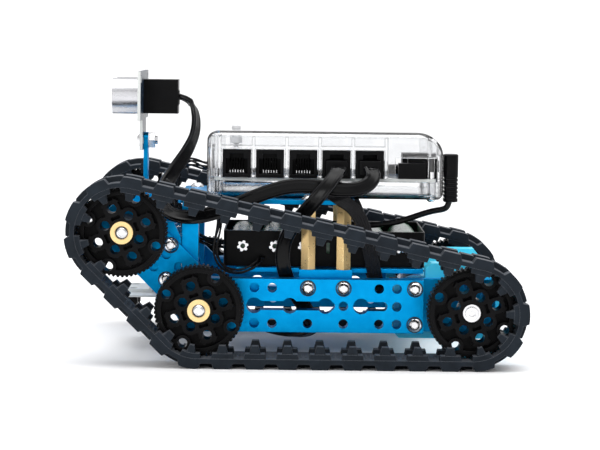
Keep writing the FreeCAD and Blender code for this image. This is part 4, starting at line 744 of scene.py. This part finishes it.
def make_floor():
    look = Look("pale_floor", Specular_IOR_Level=0.1)
    look.set("Base Color", look.ramp(look.noise(3.0), [(0.3, (0.93, 0.93, 0.935)),
                                                       (0.7, (0.95, 0.95, 0.955))]))
    look.set("Roughness", look.span(look.noise(8.0), 0.6, 0.75))
    mesh = bpy.data.meshes.new("floor")
    reach = FLOOR_REACH
    mesh.from_pydata([(-reach, -reach, 0), (reach, -reach, 0), (reach, reach, 0),
                      (-reach, reach, 0)], [], [(0, 1, 2, 3)])
    mesh.materials.append(look.material)
    floor = bpy.data.objects.new("floor", mesh)
    bpy.context.scene.collection.objects.link(floor)


WORLD_STRENGTH = 2.0
WORLD_GREY, WORLD_BLUE = 0.5, 0.505
WORLD_STOPS = ((0.0, 1.25), (0.14, 1.15), (0.35, 0.62), (0.7, 0.75), (1.0, 1.3))


def make_world():
    """A studio sky: white at the horizon, greyer half way up, bright overhead."""
    world = bpy.data.worlds.new("studio")
    world.use_nodes = True
    nodes, links = world.node_tree.nodes, world.node_tree.links
    background = nodes["Background"]
    place = nodes.new("ShaderNodeTexCoord")
    parts = nodes.new("ShaderNodeSeparateXYZ")
    links.new(place.outputs["Generated"], parts.inputs[0])
    ramp = nodes.new("ShaderNodeValToRGB")
    elements = ramp.color_ramp.elements
    while len(elements) < len(WORLD_STOPS):
        elements.new(0.5)
    for element, (height, level) in zip(elements, WORLD_STOPS):
        element.position = height
        element.color = (level * WORLD_GREY, level * WORLD_GREY, level * WORLD_BLUE, 1.0)
    links.new(parts.outputs["Z"], ramp.inputs[0])
    links.new(ramp.outputs[0], background.inputs["Color"])
    background.inputs["Strength"].default_value = WORLD_STRENGTH
    bpy.context.scene.world = world


def area_lamp(name, place, target, size, power):
    data = bpy.data.lights.new(name, "AREA")
    data.shape = "RECTANGLE"
    data.size, data.size_y = size
    data.energy = power
    lamp = bpy.data.objects.new(name, data)
    bpy.context.scene.collection.objects.link(lamp)
    lamp.location = place
    lamp.rotation_mode = "QUATERNION"
    lamp.rotation_quaternion = (Vector(target) - Vector(place)).to_track_quat("-Z", "Y")


def overhead_light(strength, spread):
    data = bpy.data.lights.new("overhead_light", "SUN")
    data.energy = strength
    data.angle = spread
    lamp = bpy.data.objects.new("overhead_light", data)
    bpy.context.scene.collection.objects.link(lamp)
    lamp.rotation_euler = (math.radians(-12), math.radians(8), 0.0)


make_floor()
make_world()
overhead_light(1.3, math.radians(70))
area_lamp("top_softbox", (0.0, -0.2, 1.1), (0.0, 0.0, 0.0), (1.0, 0.8), 5.0)
area_lamp("front_softbox", (-0.6, -1.2, 0.5), (0.0, 0.0, 0.05), (0.5, 0.5), 3.0)
bpy.context.scene.view_settings.view_transform = "Standard"
